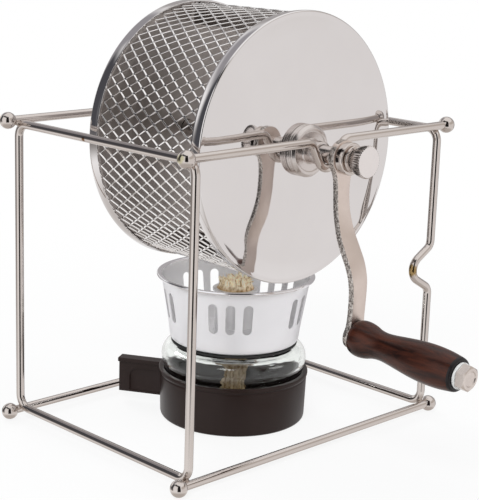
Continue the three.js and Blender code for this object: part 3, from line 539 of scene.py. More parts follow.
# %% World
world = bpy.data.worlds.new("studio")
bpy.context.scene.world = world
world.use_nodes = True
tree = world.node_tree
tree.nodes.clear()
way = add(tree, "ShaderNodeTexCoord").outputs["Generated"]
rise = add(tree, "ShaderNodeSeparateXYZ", [(0, way)]).outputs[2]
level_way = add(tree, "ShaderNodeVectorMath", [(0, way), (1, (1, 1, 0))], operation="MULTIPLY")
heading = add(tree, "ShaderNodeVectorMath", [(0, level_way.outputs[0])], operation="NORMALIZE").outputs[0]


def soft_step(value, start, stop):
    return remap(tree, value, start, stop, smooth=True)


def board(surroundings, colour, middle, half_width, low, high, soft=6):
    """Lays a board over the surroundings: headings round from +X and heights above the table, in degrees."""
    middle, half_width, low, high, soft = (math.radians(a) for a in (middle, half_width, low, high, soft))
    aim = add(tree, "ShaderNodeVectorMath", [(0, heading), (1, (math.cos(middle), math.sin(middle), 0))],
              operation="DOT_PRODUCT").outputs["Value"]
    inside = soft_step(aim, math.cos(min(half_width + soft, math.pi)), math.cos(max(half_width - soft, 0)))
    over = soft_step(rise, math.sin(low - soft), math.sin(low + soft))
    under = soft_step(rise, math.sin(high + soft), math.sin(high - soft))
    mask = calc(tree, "MULTIPLY", inside, calc(tree, "MULTIPLY", over, under))
    return mixed(tree, mask, surroundings, (*colour, 1))


def seen_directly(tree):
    """1 for what the camera sees, also through glass, and 0 for reflections and light."""
    path = add(tree, "ShaderNodeLightPath")
    return calc(tree, "MAXIMUM", path.outputs["Is Camera Ray"], path.outputs["Is Transmission Ray"])


table_grey, ceiling_white = (0.58, 0.545, 0.52, 1), (0.97, 0.96, 0.96, 1)
room = mixed(tree, soft_step(rise, -0.85, -0.35), table_grey, ceiling_white)
for one_board in (((0.83, 0.805, 0.80), -54, 43, -27, 9, 5),
                  ((0.60, 0.56, 0.53), -54, 43, 9, 36, 5),
                  ((0.42, 0.40, 0.40), 25, 35, -24, 38),
                  ((0.33, 0.31, 0.30), 110, 44, -18, 4),
                  ((0.34, 0.33, 0.35), 88, 24, 24, 60, 8),
                  ((0.075, 0.075, 0.085), 130, 18, -8, 46, 8),
                  ((0.015, 0.013, 0.013), -128, 20, -22, 56, 4),
                  ((0.03, 0.028, 0.03), -178, 42, 44, 62)):
    room = board(room, *one_board)

path = add(tree, "ShaderNodeLightPath")
white = add(tree, "ShaderNodeBackground", [("Color", (1, 1, 1, 1)), ("Strength", 1.0)])
soft = add(tree, "ShaderNodeBackground", [("Color", (0.96, 0.98, 1, 1)), ("Strength", 0.55)])
mirrored = add(tree, "ShaderNodeBackground", [("Color", room), ("Strength", 1.0)])
both = add(tree, "ShaderNodeMixShader", [(0, path.outputs["Is Glossy Ray"]), (1, soft.outputs[0]),
                                         (2, mirrored.outputs[0])])
both = add(tree, "ShaderNodeMixShader", [(0, seen_directly(tree)), (1, both.outputs[0]),
                                         (2, white.outputs[0])])
add(tree, "ShaderNodeOutputWorld", [("Surface", both.outputs[0])])
print("world nodes:", len(tree.nodes))

# %% [markdown]
# ## Floor
# Near the object the floor is lit, so it keeps the object's shadow. Further out it fades into the plain
# white of the world, and no horizon shows. Reflections see the world's boards instead of it.

# %% Floor
clear_selection()
bpy.ops.mesh.primitive_plane_add(size=6, location=(0, 0, -0.0002))
floor = bpy.context.object
floor.name = "floor"
paper, tree, shader = new_material("white floor")
tree.nodes.clear()
lit = add(tree, "ShaderNodeBsdfDiffuse", [("Color", (0.8, 0.8, 0.8, 1))])
glow = add(tree, "ShaderNodeEmission", [("Color", (1, 1, 1, 1)), ("Strength", 1.0)])
spot = add(tree, "ShaderNodeTexCoord").outputs["Object"]
far = add(tree, "ShaderNodeVectorMath", [(0, spot)], operation="LENGTH").outputs["Value"]
fade = remap(tree, far, 0.15, 0.6, 0.86, 1.0, smooth=True)
shadowed = add(tree, "ShaderNodeMixShader", [(0, fade), (1, lit.outputs[0]), (2, glow.outputs[0])])
both = add(tree, "ShaderNodeMixShader", [(0, seen_directly(tree)), (1, lit.outputs[0]),
                                         (2, shadowed.outputs[0])])
add(tree, "ShaderNodeOutputMaterial", [("Surface", both.outputs[0])])
floor.data.materials.append(paper)
floor.visible_glossy = False
print("floor:", floor.name)

# %% [markdown]
# ## Lamps
# Three large lamps light the object from the front left, the front right and behind. The metal would show
# them as hot patches, which the photograph doesn't have, so reflections don't see them.

# %% Lamps
def lamp(name, place, aim, size, power):
    light = bpy.data.lights.new(name, "AREA")
    light.shape = "DISK"
    light.size = size
    light.energy = power
    body = bpy.data.objects.new(name, light)
    bpy.context.scene.collection.objects.link(body)
    body.location = place
    body.rotation_euler = (Vector(aim) - Vector(place)).to_track_quat("-Z", "Y").to_euler()
    body.visible_glossy = False


object_middle = (0, 0, 0.12)
lamp("key lamp", (-1.1, -0.7, 1.3), object_middle, 0.8, 16)
lamp("fill lamp", (0.9, -1.3, 0.8), object_middle, 0.9, 9)
lamp("back lamp", (0.2, 1.2, 1.2), object_middle, 0.8, 9)

# %% [markdown]
# ## Wire stand
# The stand is five-millimetre wire, bent on a jig and plated. A jig works like this helper: it feeds a
# straight length, then turns the wire about a peg. Extrude is the feed and Spin is the peg, so the wire
# stays round through each bend. Spin turns left-handed here, so its axis is reversed.

# %% Helper: bend a wire
def bent_wire(corners, closed, side, radius=2.5, sides=20, degrees_a_step=9):
    """Bends a wire through (place, bend radius) corners, in mm."""
    count = len(corners)
    places = [Vector(c[0]) for c in corners]
    bends = []
    for i, (_, bend) in enumerate(corners):
        if not closed and i in (0, count - 1):
            bends.append(None)
            continue
        back = (places[i - 1] - places[i]).normalized()
        ahead = (places[(i + 1) % count] - places[i]).normalized()
        half = back.angle(ahead) / 2
        reach = bend / math.tan(half)
        centre = places[i] + (back + ahead).normalized() * bend / math.sin(half)
        bends.append((places[i] + back * reach, places[i] + ahead * reach, centre, math.pi - 2 * half,
                      (-back).cross(ahead).normalized()))
    start = bends[0][1] if closed else places[0]
    run = (places[1] - places[0]).normalized()
    turn = Matrix((Vector(side), run.cross(Vector(side)), run)).transposed().to_euler()
    piece = begin(bpy.ops.mesh.primitive_circle_add, vertices=sides, radius=radius * mm, location=start * mm,
                  rotation=turn)
    if not closed:
        bpy.ops.mesh.edge_face_add()
        bpy.ops.mesh.select_mode(type="EDGE")
    here = start
    order = list(range(1, count)) + ([0] if closed else [])
    for i in order:
        stop = bends[i][0] if bends[i] else places[i]
        bpy.ops.mesh.extrude_region_move(TRANSFORM_OT_translate={"value": (stop - here) * mm})
        here = stop
        if bends[i]:
            _, here, centre, angle, axis = bends[i]
            steps = max(3, round(math.degrees(angle) / degrees_a_step))
            bpy.ops.mesh.spin(steps=steps, angle=angle, center=centre * mm, axis=-axis)
    tidy(0.01)
    bpy.ops.object.mode_set(mode="OBJECT")
    return piece


# %% [markdown]
# The dip that carries the shaft is a cradle: two flanks at sixty degrees and a round bottom that fits the
# shaft. The right-hand loop has the same cradle in both uprights, bent inward, probably for a stand that
# lies on its side.

# %% Cradles
cradle_drop, cradle_bend, shoulder_bend = 8, 7.8, 6
cradle_depth = cradle_drop + cradle_bend / math.cos(math.radians(60))
cradle_half = cradle_depth / math.tan(math.radians(60))


def cradle(middle, run, sink):
    middle, run, sink = Vector(middle), Vector(run), Vector(sink)
    return [(middle - run * cradle_half, shoulder_bend), (middle + sink * cradle_depth, cradle_bend),
            (middle + run * cradle_half, shoulder_bend)]


print("cradle:", round(cradle_depth, 1), "mm to its sharp corner,", round(2 * cradle_half, 1), "mm wide")

# %% Cross rods
ball_x, rod_y, bottom_z, top_z = 107.7, 78.35, 5, 186
rod_end = 103.5


def cross_rod(y, z, dipped):
    corners = [((-rod_end, y, z), 0)]
    if dipped:
        corners += cradle((0, y, z), (1, 0, 0), (0, 0, -1))
    return bent_wire(corners + [((rod_end, y, z), 0)], False, (0, 1, 0))


for node, y, z, dipped in (("front_top_rod", -rod_y, top_z, True),
                           ("rear_top_rod", rod_y, top_z, True),
                           ("front_bottom_rod", -rod_y, bottom_z, False),
                           ("rear_bottom_rod", rod_y, bottom_z, False)):
    rod = cross_rod(y, z, dipped)
    finish_piece(rod, "bent_" + node, "stand", bright_nickel, [node], angle=60)

# %% Side loops
loop_x, loop_y, loop_bottom, loop_top, elbow = 100.25, 77.65, 7.15, 183.85, 7.83
side_cradle_height = bottom_z + 92


def side_loop(x, dipped):
    corners = [((x, -loop_y, loop_bottom), elbow), ((x, loop_y, loop_bottom), elbow)]
    if dipped:
        corners += cradle((x, loop_y, side_cradle_height), (0, 0, 1), (-1, 0, 0))
    corners += [((x, loop_y, loop_top), elbow), ((x, -loop_y, loop_top), elbow)]
    if dipped:
        corners += cradle((x, -loop_y, side_cradle_height), (0, 0, -1), (-1, 0, 0))
    return bent_wire(corners, True, (1, 0, 0))


for node, x, dipped in (("left_side_loop", -loop_x, False), ("right_side_loop", loop_x, True)):
    loop = side_loop(x, dipped)
    finish_piece(loop, "bent_" + node, "stand", bright_nickel, [node], angle=60)

# %% [markdown]
# ## Balls and brazed joints
# Each rod ends in a ball. A sphere is cut flat where its rod meets it, and the cut is filled, inset and
# drawn out into a short collar. Where a rod crosses a loop's elbow, the two are joined with a small brown
# fillet of braze: an icosphere is drawn out along the rod, and its surface pushed in and out a little.

# %% Balls
ball_radius, ball_flat = 5, 4.33


def rod_ball(x, y, z):
    side = 1 if x > 0 else -1
    piece = begin(bpy.ops.mesh.primitive_uv_sphere_add, segments=36, ring_count=18, radius=ball_radius * mm,
                  location=(x * mm, y * mm, z * mm), rotation=(0, math.pi / 2, 0))
    cut_x = x - side * ball_flat
    bpy.ops.mesh.bisect(plane_co=(cut_x * mm, 0, 0), plane_no=(side, 0, 0), clear_inner=True, use_fill=True)
    pick("FACE", lambda p, n: n.x * side < -0.9 and abs(p.x - cut_x) < 0.1)
    bpy.ops.mesh.inset(thickness=0.15 * mm)
    bpy.ops.mesh.extrude_region_move(TRANSFORM_OT_translate={"value": (-side * 0.5 * mm, 0, 0)})
    tidy()
    bpy.ops.object.mode_set(mode="OBJECT")
    return piece


for depth_name, y in (("front", -rod_y), ("rear", rod_y)):
    for height_name, z in (("bottom", bottom_z), ("top", top_z)):
        for side_name, x in (("left", -ball_x), ("right", ball_x)):
            node = f"{depth_name}_{height_name}_{side_name}_ball"
            ball = rod_ball(x, y, z)
            finish_piece(ball, "turned_" + node, "stand", bright_nickel, [node])

# %% Brazed joints
braze_in, braze_out = 1.9, 1.2  # from a rod's axis towards the stand's middle, and outward along the rod


def braze_fillet(x, y, z):
    piece = begin(bpy.ops.mesh.primitive_ico_sphere_add, subdivisions=3, radius=1 * mm)
    bpy.ops.transform.resize(value=(3.0, 1.45, 1.45))
    lumps = round(abs(x + 2 * y + 3 * z))
    bpy.ops.transform.vertex_random(offset=0.22 * mm, uniform=0.0, normal=1.0, seed=lumps)
    bpy.ops.mesh.vertices_smooth(factor=0.5, repeat=2)
    corner_y = y - math.copysign(braze_in, y)
    corner_z = z + (braze_in if z == bottom_z else -braze_in)
    corner_x = x + math.copysign(braze_out, x)
    bpy.ops.transform.translate(value=(corner_x * mm, corner_y * mm, corner_z * mm))
    bpy.ops.object.mode_set(mode="OBJECT")
    return piece


joints = [(x, y, z) for x in (-loop_x, loop_x) for y in (-rod_y, rod_y) for z in (bottom_z, top_z)]
for i, corner in enumerate(joints):
    fillet = braze_fillet(*corner)
    finish_piece(fillet, f"braze_fillet_{i + 1}", "stand", braze, [], angle=180)

# %% [markdown]
# ## Expanded mesh
# Expanded metal is one sheet that is slit and stretched, so its strands are thin ribbons that tilt and meet
# in longer bonds. One strand of each slope is made from a cube, tilted, and carried round the drum by Spin
# with duplicates. The next row is a copy, moved along and turned by half a mesh. Sixty-four meshes lie
# round the real drum.

# %% Drum mesh
mesh_round, mesh_rows = 64, 14
row_step = 5.75
drum_front, drum_back = -57, 38  # the discs' faces along Y
first_row = drum_front + 7.2
strand_radius = 77.0
half_turn = math.pi / mesh_round


def strand(slope, lift, tilt):
    """One ribbon from a bond at the front to the next bond half a mesh on, at the drum's left side."""
    reach = 2 * strand_radius * math.sin(half_turn / 2)
    length = math.hypot(row_step, reach)
    piece = begin(bpy.ops.mesh.primitive_cube_add, size=mm)
    bpy.ops.transform.resize(value=(0.5, length + 0.75, 1.0))
    bpy.ops.mesh.bevel(offset=0.14 * mm, segments=1, affect="EDGES")
    lean = Matrix.Rotation(slope * math.atan2(reach, row_step), 4, "X") @ Matrix.Rotation(tilt, 4, "Y")
    bpy.ops.object.mode_set(mode="OBJECT")
    bow = Matrix.Rotation(slope * half_turn / 2, 4, "Y")
    place = Matrix.Translation((0, (first_row + row_step / 2) * mm, axle * mm)) @ bow
    piece.data.transform(place @ Matrix.Translation(((-strand_radius + lift) * mm, 0, 0)) @ lean)
    return piece


first = strand(1, -0.12, 0.5)
second = strand(-1, 0.12, 0.5)
bond = begin(bpy.ops.mesh.primitive_cube_add, size=mm)
bpy.ops.transform.resize(value=(0.9, 2.3, 1.35))
bpy.ops.mesh.bevel(offset=0.2 * mm, segments=1, affect="EDGES")
bpy.ops.object.mode_set(mode="OBJECT")
bond.data.transform(Matrix.Translation((-strand_radius * mm, first_row * mm, axle * mm)))
drum_mesh = joined(first, second, bond)
bpy.ops.object.mode_set(mode="EDIT")
bpy.ops.mesh.select_all(action="SELECT")
bpy.ops.mesh.spin(steps=mesh_round - 1, dupli=True, angle=2 * math.pi * (mesh_round - 1) / mesh_round,
                  center=(0, 0, axle * mm), axis=(0, 1, 0))
bpy.ops.object.mode_set(mode="OBJECT")
one_row = drum_mesh.data.copy()
rows = [drum_mesh]
for row in range(1, mesh_rows):
    copy = bpy.data.objects.new("mesh row", one_row.copy())
    bpy.context.scene.collection.objects.link(copy)
    turn = Matrix.Translation((0, 0, axle * mm)) @ Matrix.Rotation(half_turn * (row % 2), 4, "Y") @ \
        Matrix.Translation((0, row * row_step * mm, -axle * mm))
    copy.data.transform(turn)
    rows.append(copy)
joined(*rows)
finish_piece(drum_mesh, "expanded_mesh", "drum", mesh_steel, ["drum_mesh"], angle=30)

# %% [markdown]
# ## End caps
# Each cap is a pressed disc, polished to a mirror, whose band wraps the edge of the mesh. A round corner
# joins the two, and from there the disc swells out and turns flat in the middle. The band is arched, so it
# goes from pale to dark across its width. The inside is left duller. Both caps come from one outline, so
# the rear one only looks the other way and has a narrower, flatter band.

# %% Helper: a fair curve through points
def blend(t, a, run_a, b, run_b):
    """The cubic from a to b that starts along run_a and ends along run_b."""
    return ((2 * t ** 3 - 3 * t ** 2 + 1) * a + (t ** 3 - 2 * t ** 2 + t) * run_a
            + (3 * t ** 2 - 2 * t ** 3) * b + (t ** 3 - t ** 2) * run_b)


def faired(points, steps=4):
    """A smooth curve through points, as a batten bent round pins gives."""
    points = [Vector(p) for p in points]
    line = []
    for i in range(len(points) - 1):
        a, b = points[i], points[i + 1]
        before = points[i - 1] if i else a + (a - b)
        after = points[i + 2] if i + 2 < len(points) else b + (b - a)
        span = (b - a).length
        run_a = (b - before) * span / ((b - a).length + (a - before).length)
        run_b = (after - a) * span / ((b - a).length + (after - b).length)
        for k in range(steps):
            line.append(blend(k / steps, a, run_a, b, run_b))
    return line + [points[-1]]


# %% End caps
crown, rim = 2.9, 79.19


def end_cap(face, into, band, fall):
    """The disc, the round corner, and a band that arches down to the mesh by this fall."""
    disc = faired([(35, -crown), (45, -crown + 0.1), (55, -crown + 0.45), (65, -crown + 1.25), (72, -0.75),
                   (76.6, -0.1)], 4)
    arch = [(rim - fall * (k / 8) ** 1.7, 2.0 + (band - 2.6) * k / 8) for k in range(9)]
    shell = rounded([(76.7, -0.09), (rim, 0.05, 1.5)] + arch
                    + [(rim - fall, band, 0.2), (77.9, band, 0.2), (77.9, 1.6, 0.4), (75.4, 1.6, 0.4),
                       (72, 0.5, 2), (62, -crown + 2.2, 8), (45, -crown + 1.2, 8), (5.3, -crown + 1.2)],
                    closed=False, steps=7)
    outline = [(5.3, -crown)] + [tuple(p) for p in disc] + [tuple(p) for p in shell] + [(5.3, -crown)]
    return turned_on_axle([(r, face + into * a) for r, a in outline], steps=180)


for node, face, into, band, fall in (("front_cap", drum_front, 1, 8.5, 0.95),
                                     ("rear_cap", drum_back, -1, 7, 0.4)):
    cap = end_cap(face, into, band, fall)
    cap.data.materials.append(mirror_steel)
    cap.data.materials.append(inside_steel)
    for polygon in cap.data.polygons:
        depth = (polygon.center.y / mm - face) * into
        spoke = Vector((polygon.center.x, 0, polygon.center.z - axle * mm))
        faces_in = polygon.normal.y * into > 0.25 and spoke.length < 76.3 * mm
        faces_axle = polygon.normal.dot(spoke.normalized()) < -0.5 and depth > 1.5
        if faces_in or faces_axle:
            polygon.material_index = 1
    finish_piece(cap, "pressed_" + node, "drum", mirror_steel, [node], angle=30)

# %% [markdown]
# ## Hubs, set screws and shaft
# A steel hub clamps each cap to the shaft. It is turned, with two fine grooves round its flange, a wide
# chamfer and a dished front. The screw hole is drilled into the neck with a Boolean, and the socket screw
# sits inside it.


# %% Hubs
screw_out = 12.3  # from the disc to the set screw


def hub(face, outward):
    outline = rounded([
        (5.3, 0.2), (15.2, 0.2, 0.3), (15.2, 1.1), (14.6, 1.5, 0.2), (15.2, 1.9), (15.2, 2.6),
        (14.6, 3.0, 0.2), (15.2, 3.4), (15.2, 4.6, 0.5), (13.4, 6.1, 0.5), (12.0, 6.1, 0.3),
        (11.4, 5.75, 0.4),
        (7.6, 5.6, 0.5), (6.8, 6.2, 0.3), (6.8, 14.7, 0.5), (5.3, 14.7)])
    piece = turned_on_axle([(r, face + outward * a) for r, a in outline], steps=96)
    drill = begin(bpy.ops.mesh.primitive_cylinder_add, vertices=24, radius=1.6 * mm, depth=6 * mm,
                  location=(0, (face + outward * screw_out) * mm, (axle + 8.5) * mm))
    bpy.ops.object.mode_set(mode="OBJECT")
    modified(piece, "BOOLEAN", object=drill, operation="DIFFERENCE", solver="EXACT")
    bpy.data.objects.remove(drill)
    return piece


def set_screw(face, outward):
    y = face + outward * screw_out
    piece = begin(bpy.ops.mesh.primitive_cylinder_add, vertices=24, radius=1.3 * mm, depth=1.3 * mm,
                  location=(0, y * mm, (axle + 5.95) * mm))
    pick("FACE", lambda p, n: n.z > 0.9)
    bpy.ops.mesh.bevel(offset=0.15 * mm, segments=2, affect="EDGES")
    pick("FACE", lambda p, n: n.z > 0.99 and p.z > axle + 6.5)
    bpy.ops.mesh.inset(thickness=0.5 * mm)
    bpy.ops.mesh.extrude_region_move(TRANSFORM_OT_translate={"value": (0, 0, -0.7 * mm)})
    bpy.ops.object.mode_set(mode="OBJECT")
    return piece


for end, face, outward in (("front", drum_front - crown, -1), ("rear", drum_back + crown, 1)):
    finish_piece(hub(face, outward), f"turned_{end}_hub", "drum", turned_steel, [f"{end}_hub"])
    finish_piece(set_screw(face, outward), f"socket_screw_{end}", "drum", bright_nickel,
                 [f"{end}_hub_set_screw"])

# %% Shaft
shaft_outline = rounded([(0, -106.3), (3.5, -106.3, 0.4), (3.5, -87.65), (5, -87.65, 0.4), (5, 87.84, 1.0),
                         (0, 87.84)], closed=False)
finish_piece(turned_on_axle(shaft_outline, 48), "turned_shaft", "drum", turned_steel,
             ["drum_shaft"])

# %% [markdown]
# ## Lifting vanes
# Two angle strips run from cap to cap inside the mesh and lift the beans. A plane's edge is extruded round
# the fold, Solidify gives the sheet its thickness, and a Bevel softens the fold. The photograph doesn't
# show them, so their plain form is a guess.

# %% Lifting vanes
vane_edge, vane_fold, vane_length = 64.2, 75.4, 91.6
drum_middle = (drum_front + drum_back) / 2


def lifting_vane(side):
    piece = begin(bpy.ops.mesh.primitive_plane_add, size=mm)
    bpy.ops.object.mode_set(mode="OBJECT")
    for i, vertex in enumerate(piece.data.vertices):
        reach = vane_edge if i < 2 else vane_fold
        end = -0.5 if i % 2 else 0.5
        vertex.co = Vector((side * 0.6, drum_middle + end * vane_length, axle + side * reach)) * mm
    select_only(piece)
    bpy.ops.object.mode_set(mode="EDIT")
    pick("EDGE", lambda p, n: abs(abs(p.z - axle) - vane_fold) < 0.1 and abs(n.y) > 0.9)
    bpy.ops.mesh.extrude_region_move(TRANSFORM_OT_translate={"value": (side * 5.2 * mm, 0, -side * 0.2 * mm)})
    bpy.ops.mesh.select_all(action="SELECT")
    bpy.ops.mesh.normals_make_consistent(inside=False)
    bpy.ops.object.mode_set(mode="OBJECT")
    modified(piece, "SOLIDIFY", thickness=1.0 * mm, offset=0.0)
    modified(piece, "BEVEL", width=0.3 * mm, segments=2)
    return piece


for number, side in ((1, -1), (2, 1)):
    finish_piece(lifting_vane(side), f"folded_vane_{number}", "drum", inside_steel,
                 [f"lifting_vane_{number}"])

# %% [markdown]
# ## Crank arm
# The arm is a flat bar that is wide at the eye, narrow below it, fuller in the middle, and joggled away
# from the drum. It is drawn like a strap: one short edge is extruded from station to station, and each time
# it is moved and resized. Solidify gives the bar its thickness. Its edges were cast and stay rough and
# dark.

# %% Crank arm
front_line = [(189, -91.75), (163, -91.8), (155, -92.1), (147, -93.1), (136, -96.3), (128, -100.2),
              (120, -104.4), (112, -107.1), (106, -107.8), (98, -107.8), (88, -107.3), (77.4, -106.75),
              (69, -106.3)]
flank = [(172.26, 8.19), (169.4, 6.5), (165.5, 5.35), (159, 4.8), (151, 4.85), (141, 5.45), (131, 6.3),
         (122, 6.5), (112, 6.05), (101, 5.45), (91, 5.25), (86, 5.45), (83.6, 5.75), (81.82, 6.31)]
grip_height = grip_root[2]
eye_radius, end_radius, bar_thickness = 10, 7.7, 3.8
flank_run = 90.44  # from the eye's arc down to the end's


def between(table, x):
    """Reads a table of (x, y) pairs, smoothed between them."""
    table = sorted(table)
    x = min(max(x, table[0][0]), table[-1][0])
    for i in range(len(table) - 1):
        (x0, y0), (x1, y1) = table[i], table[i + 1]
        if x <= x1:
            before = table[max(i - 1, 0)]
            after = table[min(i + 2, len(table) - 1)]
            slope0 = (y1 - before[1]) / (x1 - before[0])
            slope1 = (after[1] - y0) / (after[0] - x0)
            step = x1 - x0
            return blend((x - x0) / step, y0, step * slope0, y1, step * slope1)
    return table[-1][1]


def half_width(z):
    """The eye is an arc down to 35 degrees below its middle, the grip's end one from 35 degrees above."""
    if z > flank[0][0]:
        return math.sqrt(max(eye_radius ** 2 - (z - axle) ** 2, 0.2))
    if z < flank[-1][0]:
        return math.sqrt(max(end_radius ** 2 - (z - grip_height) ** 2, 0.2))
    return between(flank, z)


levels = [axle + eye_radius * math.cos(math.radians(a)) for a in range(6, 126, 7)]
levels += [flank[0][0] - flank_run * k / 48 for k in range(1, 49)]
levels += [grip_height + end_radius * math.cos(math.radians(a)) for a in range(62, 177, 7)]
arm = begin(bpy.ops.mesh.primitive_plane_add, size=mm)
bpy.ops.mesh.merge(type="CENTER")
top = levels[0]
bpy.ops.transform.translate(value=Vector((-half_width(top), between(front_line, top), top)) * mm)
bpy.ops.mesh.extrude_vertices_move(TRANSFORM_OT_translate={"value": (2 * half_width(top) * mm, 0, 0)})
pick("EDGE", lambda p, n: True)
for above, below in zip(levels, levels[1:]):
    fall = Vector((0, between(front_line, below) - between(front_line, above), below - above)) * mm
    bpy.ops.mesh.extrude_region_move(TRANSFORM_OT_translate={"value": fall})
    bpy.ops.transform.resize(value=(half_width(below) / half_width(above), 1, 1), center_override=(0, 0, 0))
tidy()
bpy.ops.object.mode_set(mode="OBJECT")
toward_back = arm.data.polygons[0].normal.y > 0
modified(arm, "SOLIDIFY", thickness=bar_thickness * mm, offset=1.0 if toward_back else -1.0,
         use_even_offset=True)
modified(arm, "BEVEL", width=0.5 * mm, segments=2, limit_method="ANGLE", angle_limit=math.radians(50))
arm.data.materials.append(warm_nickel)
arm.data.materials.append(rough_edge)
for polygon in arm.data.polygons:
    if abs(polygon.normal.x) > 0.75 or (abs(polygon.normal.z) > 0.85 and polygon.area < 4e-5):
        polygon.material_index = 1
finish_piece(arm, "joggled_crank_arm", "drum", warm_nickel, ["crank_arm"], angle=40)

# %% [markdown]
# ## Collar and ribbed nut
# A polished collar with a narrow step holds the arm, and a nut with fine ribs clamps it. The nut is turned
# narrower towards its back, with two rows of vertices to each rib, and every second row is drawn inward.

# %% Collar
collar_outline = rounded([(3.8, -92.05), (9.3, -92.05, 0.7), (9.3, -97.05, 0.7), (6.3, -97.25, 0.3),
                          (6.3, -98.0, 0.3), (7.9, -98.2, 0.4), (7.9, -99.45, 0.4), (3.8, -99.45)])
finish_piece(turned_on_axle(collar_outline, 72), "polished_collar", "drum", bright_nickel,
             ["crank_collar"])

# %% Ribbed nut
nut_ribs, valley_share = 40, 0.925
rib_front, rib_back = -109.0, -100.1
nut = turned_on_axle([(0, -99.75), (5.9, -99.75), (6.2, -100.3), (7.6, -101.9), (8.6, -104.2), (9.2, -106.6),
                      (9.3, -108.8), (8.55, -109.2), (7.2, -109.3), (0, -109.35)], 2 * nut_ribs)


def is_valley(p):
    rib_number = round((math.atan2(p.z - axle, p.x) / (2 * math.pi) + 1) * 2 * nut_ribs)
    return rib_number % 2 == 1 and rib_front < p.y < rib_back and math.hypot(p.x, p.z - axle) > 5.0


select_only(nut)
bpy.ops.object.mode_set(mode="EDIT")
pick("VERT", lambda p, n: is_valley(p))
bpy.ops.transform.resize(value=(valley_share, 1, valley_share), center_override=(0, 0, axle * mm))
bpy.ops.object.mode_set(mode="OBJECT")
nut.data.materials.append(turned_steel)
nut.data.materials.append(satin_steel)
for polygon in nut.data.polygons:
    polygon.material_index = 1 if polygon.normal.y < -0.85 else 0
finish_piece(nut, "ribbed_nut", "drum", turned_steel, ["thumb_nut"], angle=25)

# %% [markdown]
# ## Grip, washer and bolt
# The grip is turned hardwood, slimmer near the arm and fuller at the palm, and it droops by three degrees
# with the arm's end. Its end is coloured near black. The bolt's hexagon is cut from a cylinder of six sides
# by a Boolean with a turned blank, which leaves the chamfer and the shallow dish of a real bolt head.

# %% Grip
near_black_from = 72.0  # along the grip
grip_run = (0, -math.cos(droop), -math.sin(droop))


def turned_on_grip(outline, steps=64):
    return turned(outline, grip_root, grip_run, across, steps)


palm = faired([(9.75, 0.9), (10.45, 3.2), (10.6, 6.4), (10.0, 10.4), (8.75, 14.6), (8.1, 19.5), (8.35, 25),
               (9.4, 33), (10.55, 42), (11.2, 50), (11.3, 57), (10.9, 64), (9.95, 71.0)], 4)
heel = rounded([(9.8, 71.6), (9.4, 73.3, 1.2), (3.3, 73.3)], closed=False)
grip_outline = [(3.3, 0.3), (8.9, 0.3)] + [tuple(p) for p in palm] + [tuple(p) for p in heel] + [(3.3, 0.3)]
grip = turned_on_grip(grip_outline)
grip.data.materials.append(wood)
grip.data.materials.append(near_black_grip_end)
# From 72 mm along the grip to its end, the faces get the near-black finish.
for polygon in grip.data.polygons:
    along_grip = (polygon.center / mm - Vector(grip_root)).dot(Vector(grip_run))
    polygon.material_index = 1 if along_grip > near_black_from else 0
finish_piece(grip, "turned_grip", "grip", wood, ["wooden_grip"], angle=50)

# %% Washer and bolt
washer = turned_on_grip(rounded([(3.3, 73.6), (7.5, 73.6, 0.3), (7.5, 75.1, 0.3), (3.3, 75.1)]), 48)
finish_piece(washer, "nylon_washer", "drum", white_nylon, ["grip_washer"])

head_width, head_start, head_length = 13, 75.4, 5.4
head_middle = Vector(grip_root) + Vector(grip_run) * (head_start + head_length / 2)
head = begin(bpy.ops.mesh.primitive_cylinder_add, vertices=6, radius=head_width / math.sqrt(3) * mm,
             depth=head_length * mm, location=head_middle * mm,
             rotation=(math.pi / 2 + droop, 0, 0))
bpy.ops.object.mode_set(mode="OBJECT")
blank_outline = rounded([(0, 75.3), (7.7, 75.3), (7.7, 79.6), (6.0, 80.8, 0.2), (4.5, 80.8, 0.1),
                         (4.0, 80.3, 0.1), (0, 80.3)], closed=False)
blank = turned_on_grip(blank_outline, 96)
modified(head, "BOOLEAN", object=blank, operation="INTERSECT", solver="EXACT")
bpy.data.objects.remove(blank)
shank = turned_on_grip(rounded([(0, -3.4), (3.0, -3.4, 0.3), (3.0, 76), (0, 76)], closed=False), 32)
joined(head, shank)
finish_piece(head, "hexagon_bolt", "drum", bolt_steel, ["grip_bolt"], angle=25)

# %% [markdown]
# ## Burner base
# The base is one dark brown moulding: a shallow cup with a thin lip over a fine groove, and a flat upright
# handle. The handle is a cube. Bisect cuts draw the panel on its sides, with a rounded upper corner, and
# the faces inside the cuts are pressed in. The top is drawn out as a thicker rib that overhangs the tip,
# and a Bevel takes the handle's edges off.

# %% Base cup
base_outline = rounded([
    (0, 0.6), (40, 0.6, 0.3), (40.8, 0, 0.3), (45.5, 0, 2.6), (46.3, 26.6, 0.3), (46.0, 27.3, 0.3),
    (46.25, 28.2, 0.3), (46.9, 28.5, 0.5), (46.9, 30.7, 0.7), (43.7, 30.7, 0.5),
    (43.7, 3.0, 1.0), (0, 3.0)], closed=False)
base = turned_on_burner(base_outline, 128)

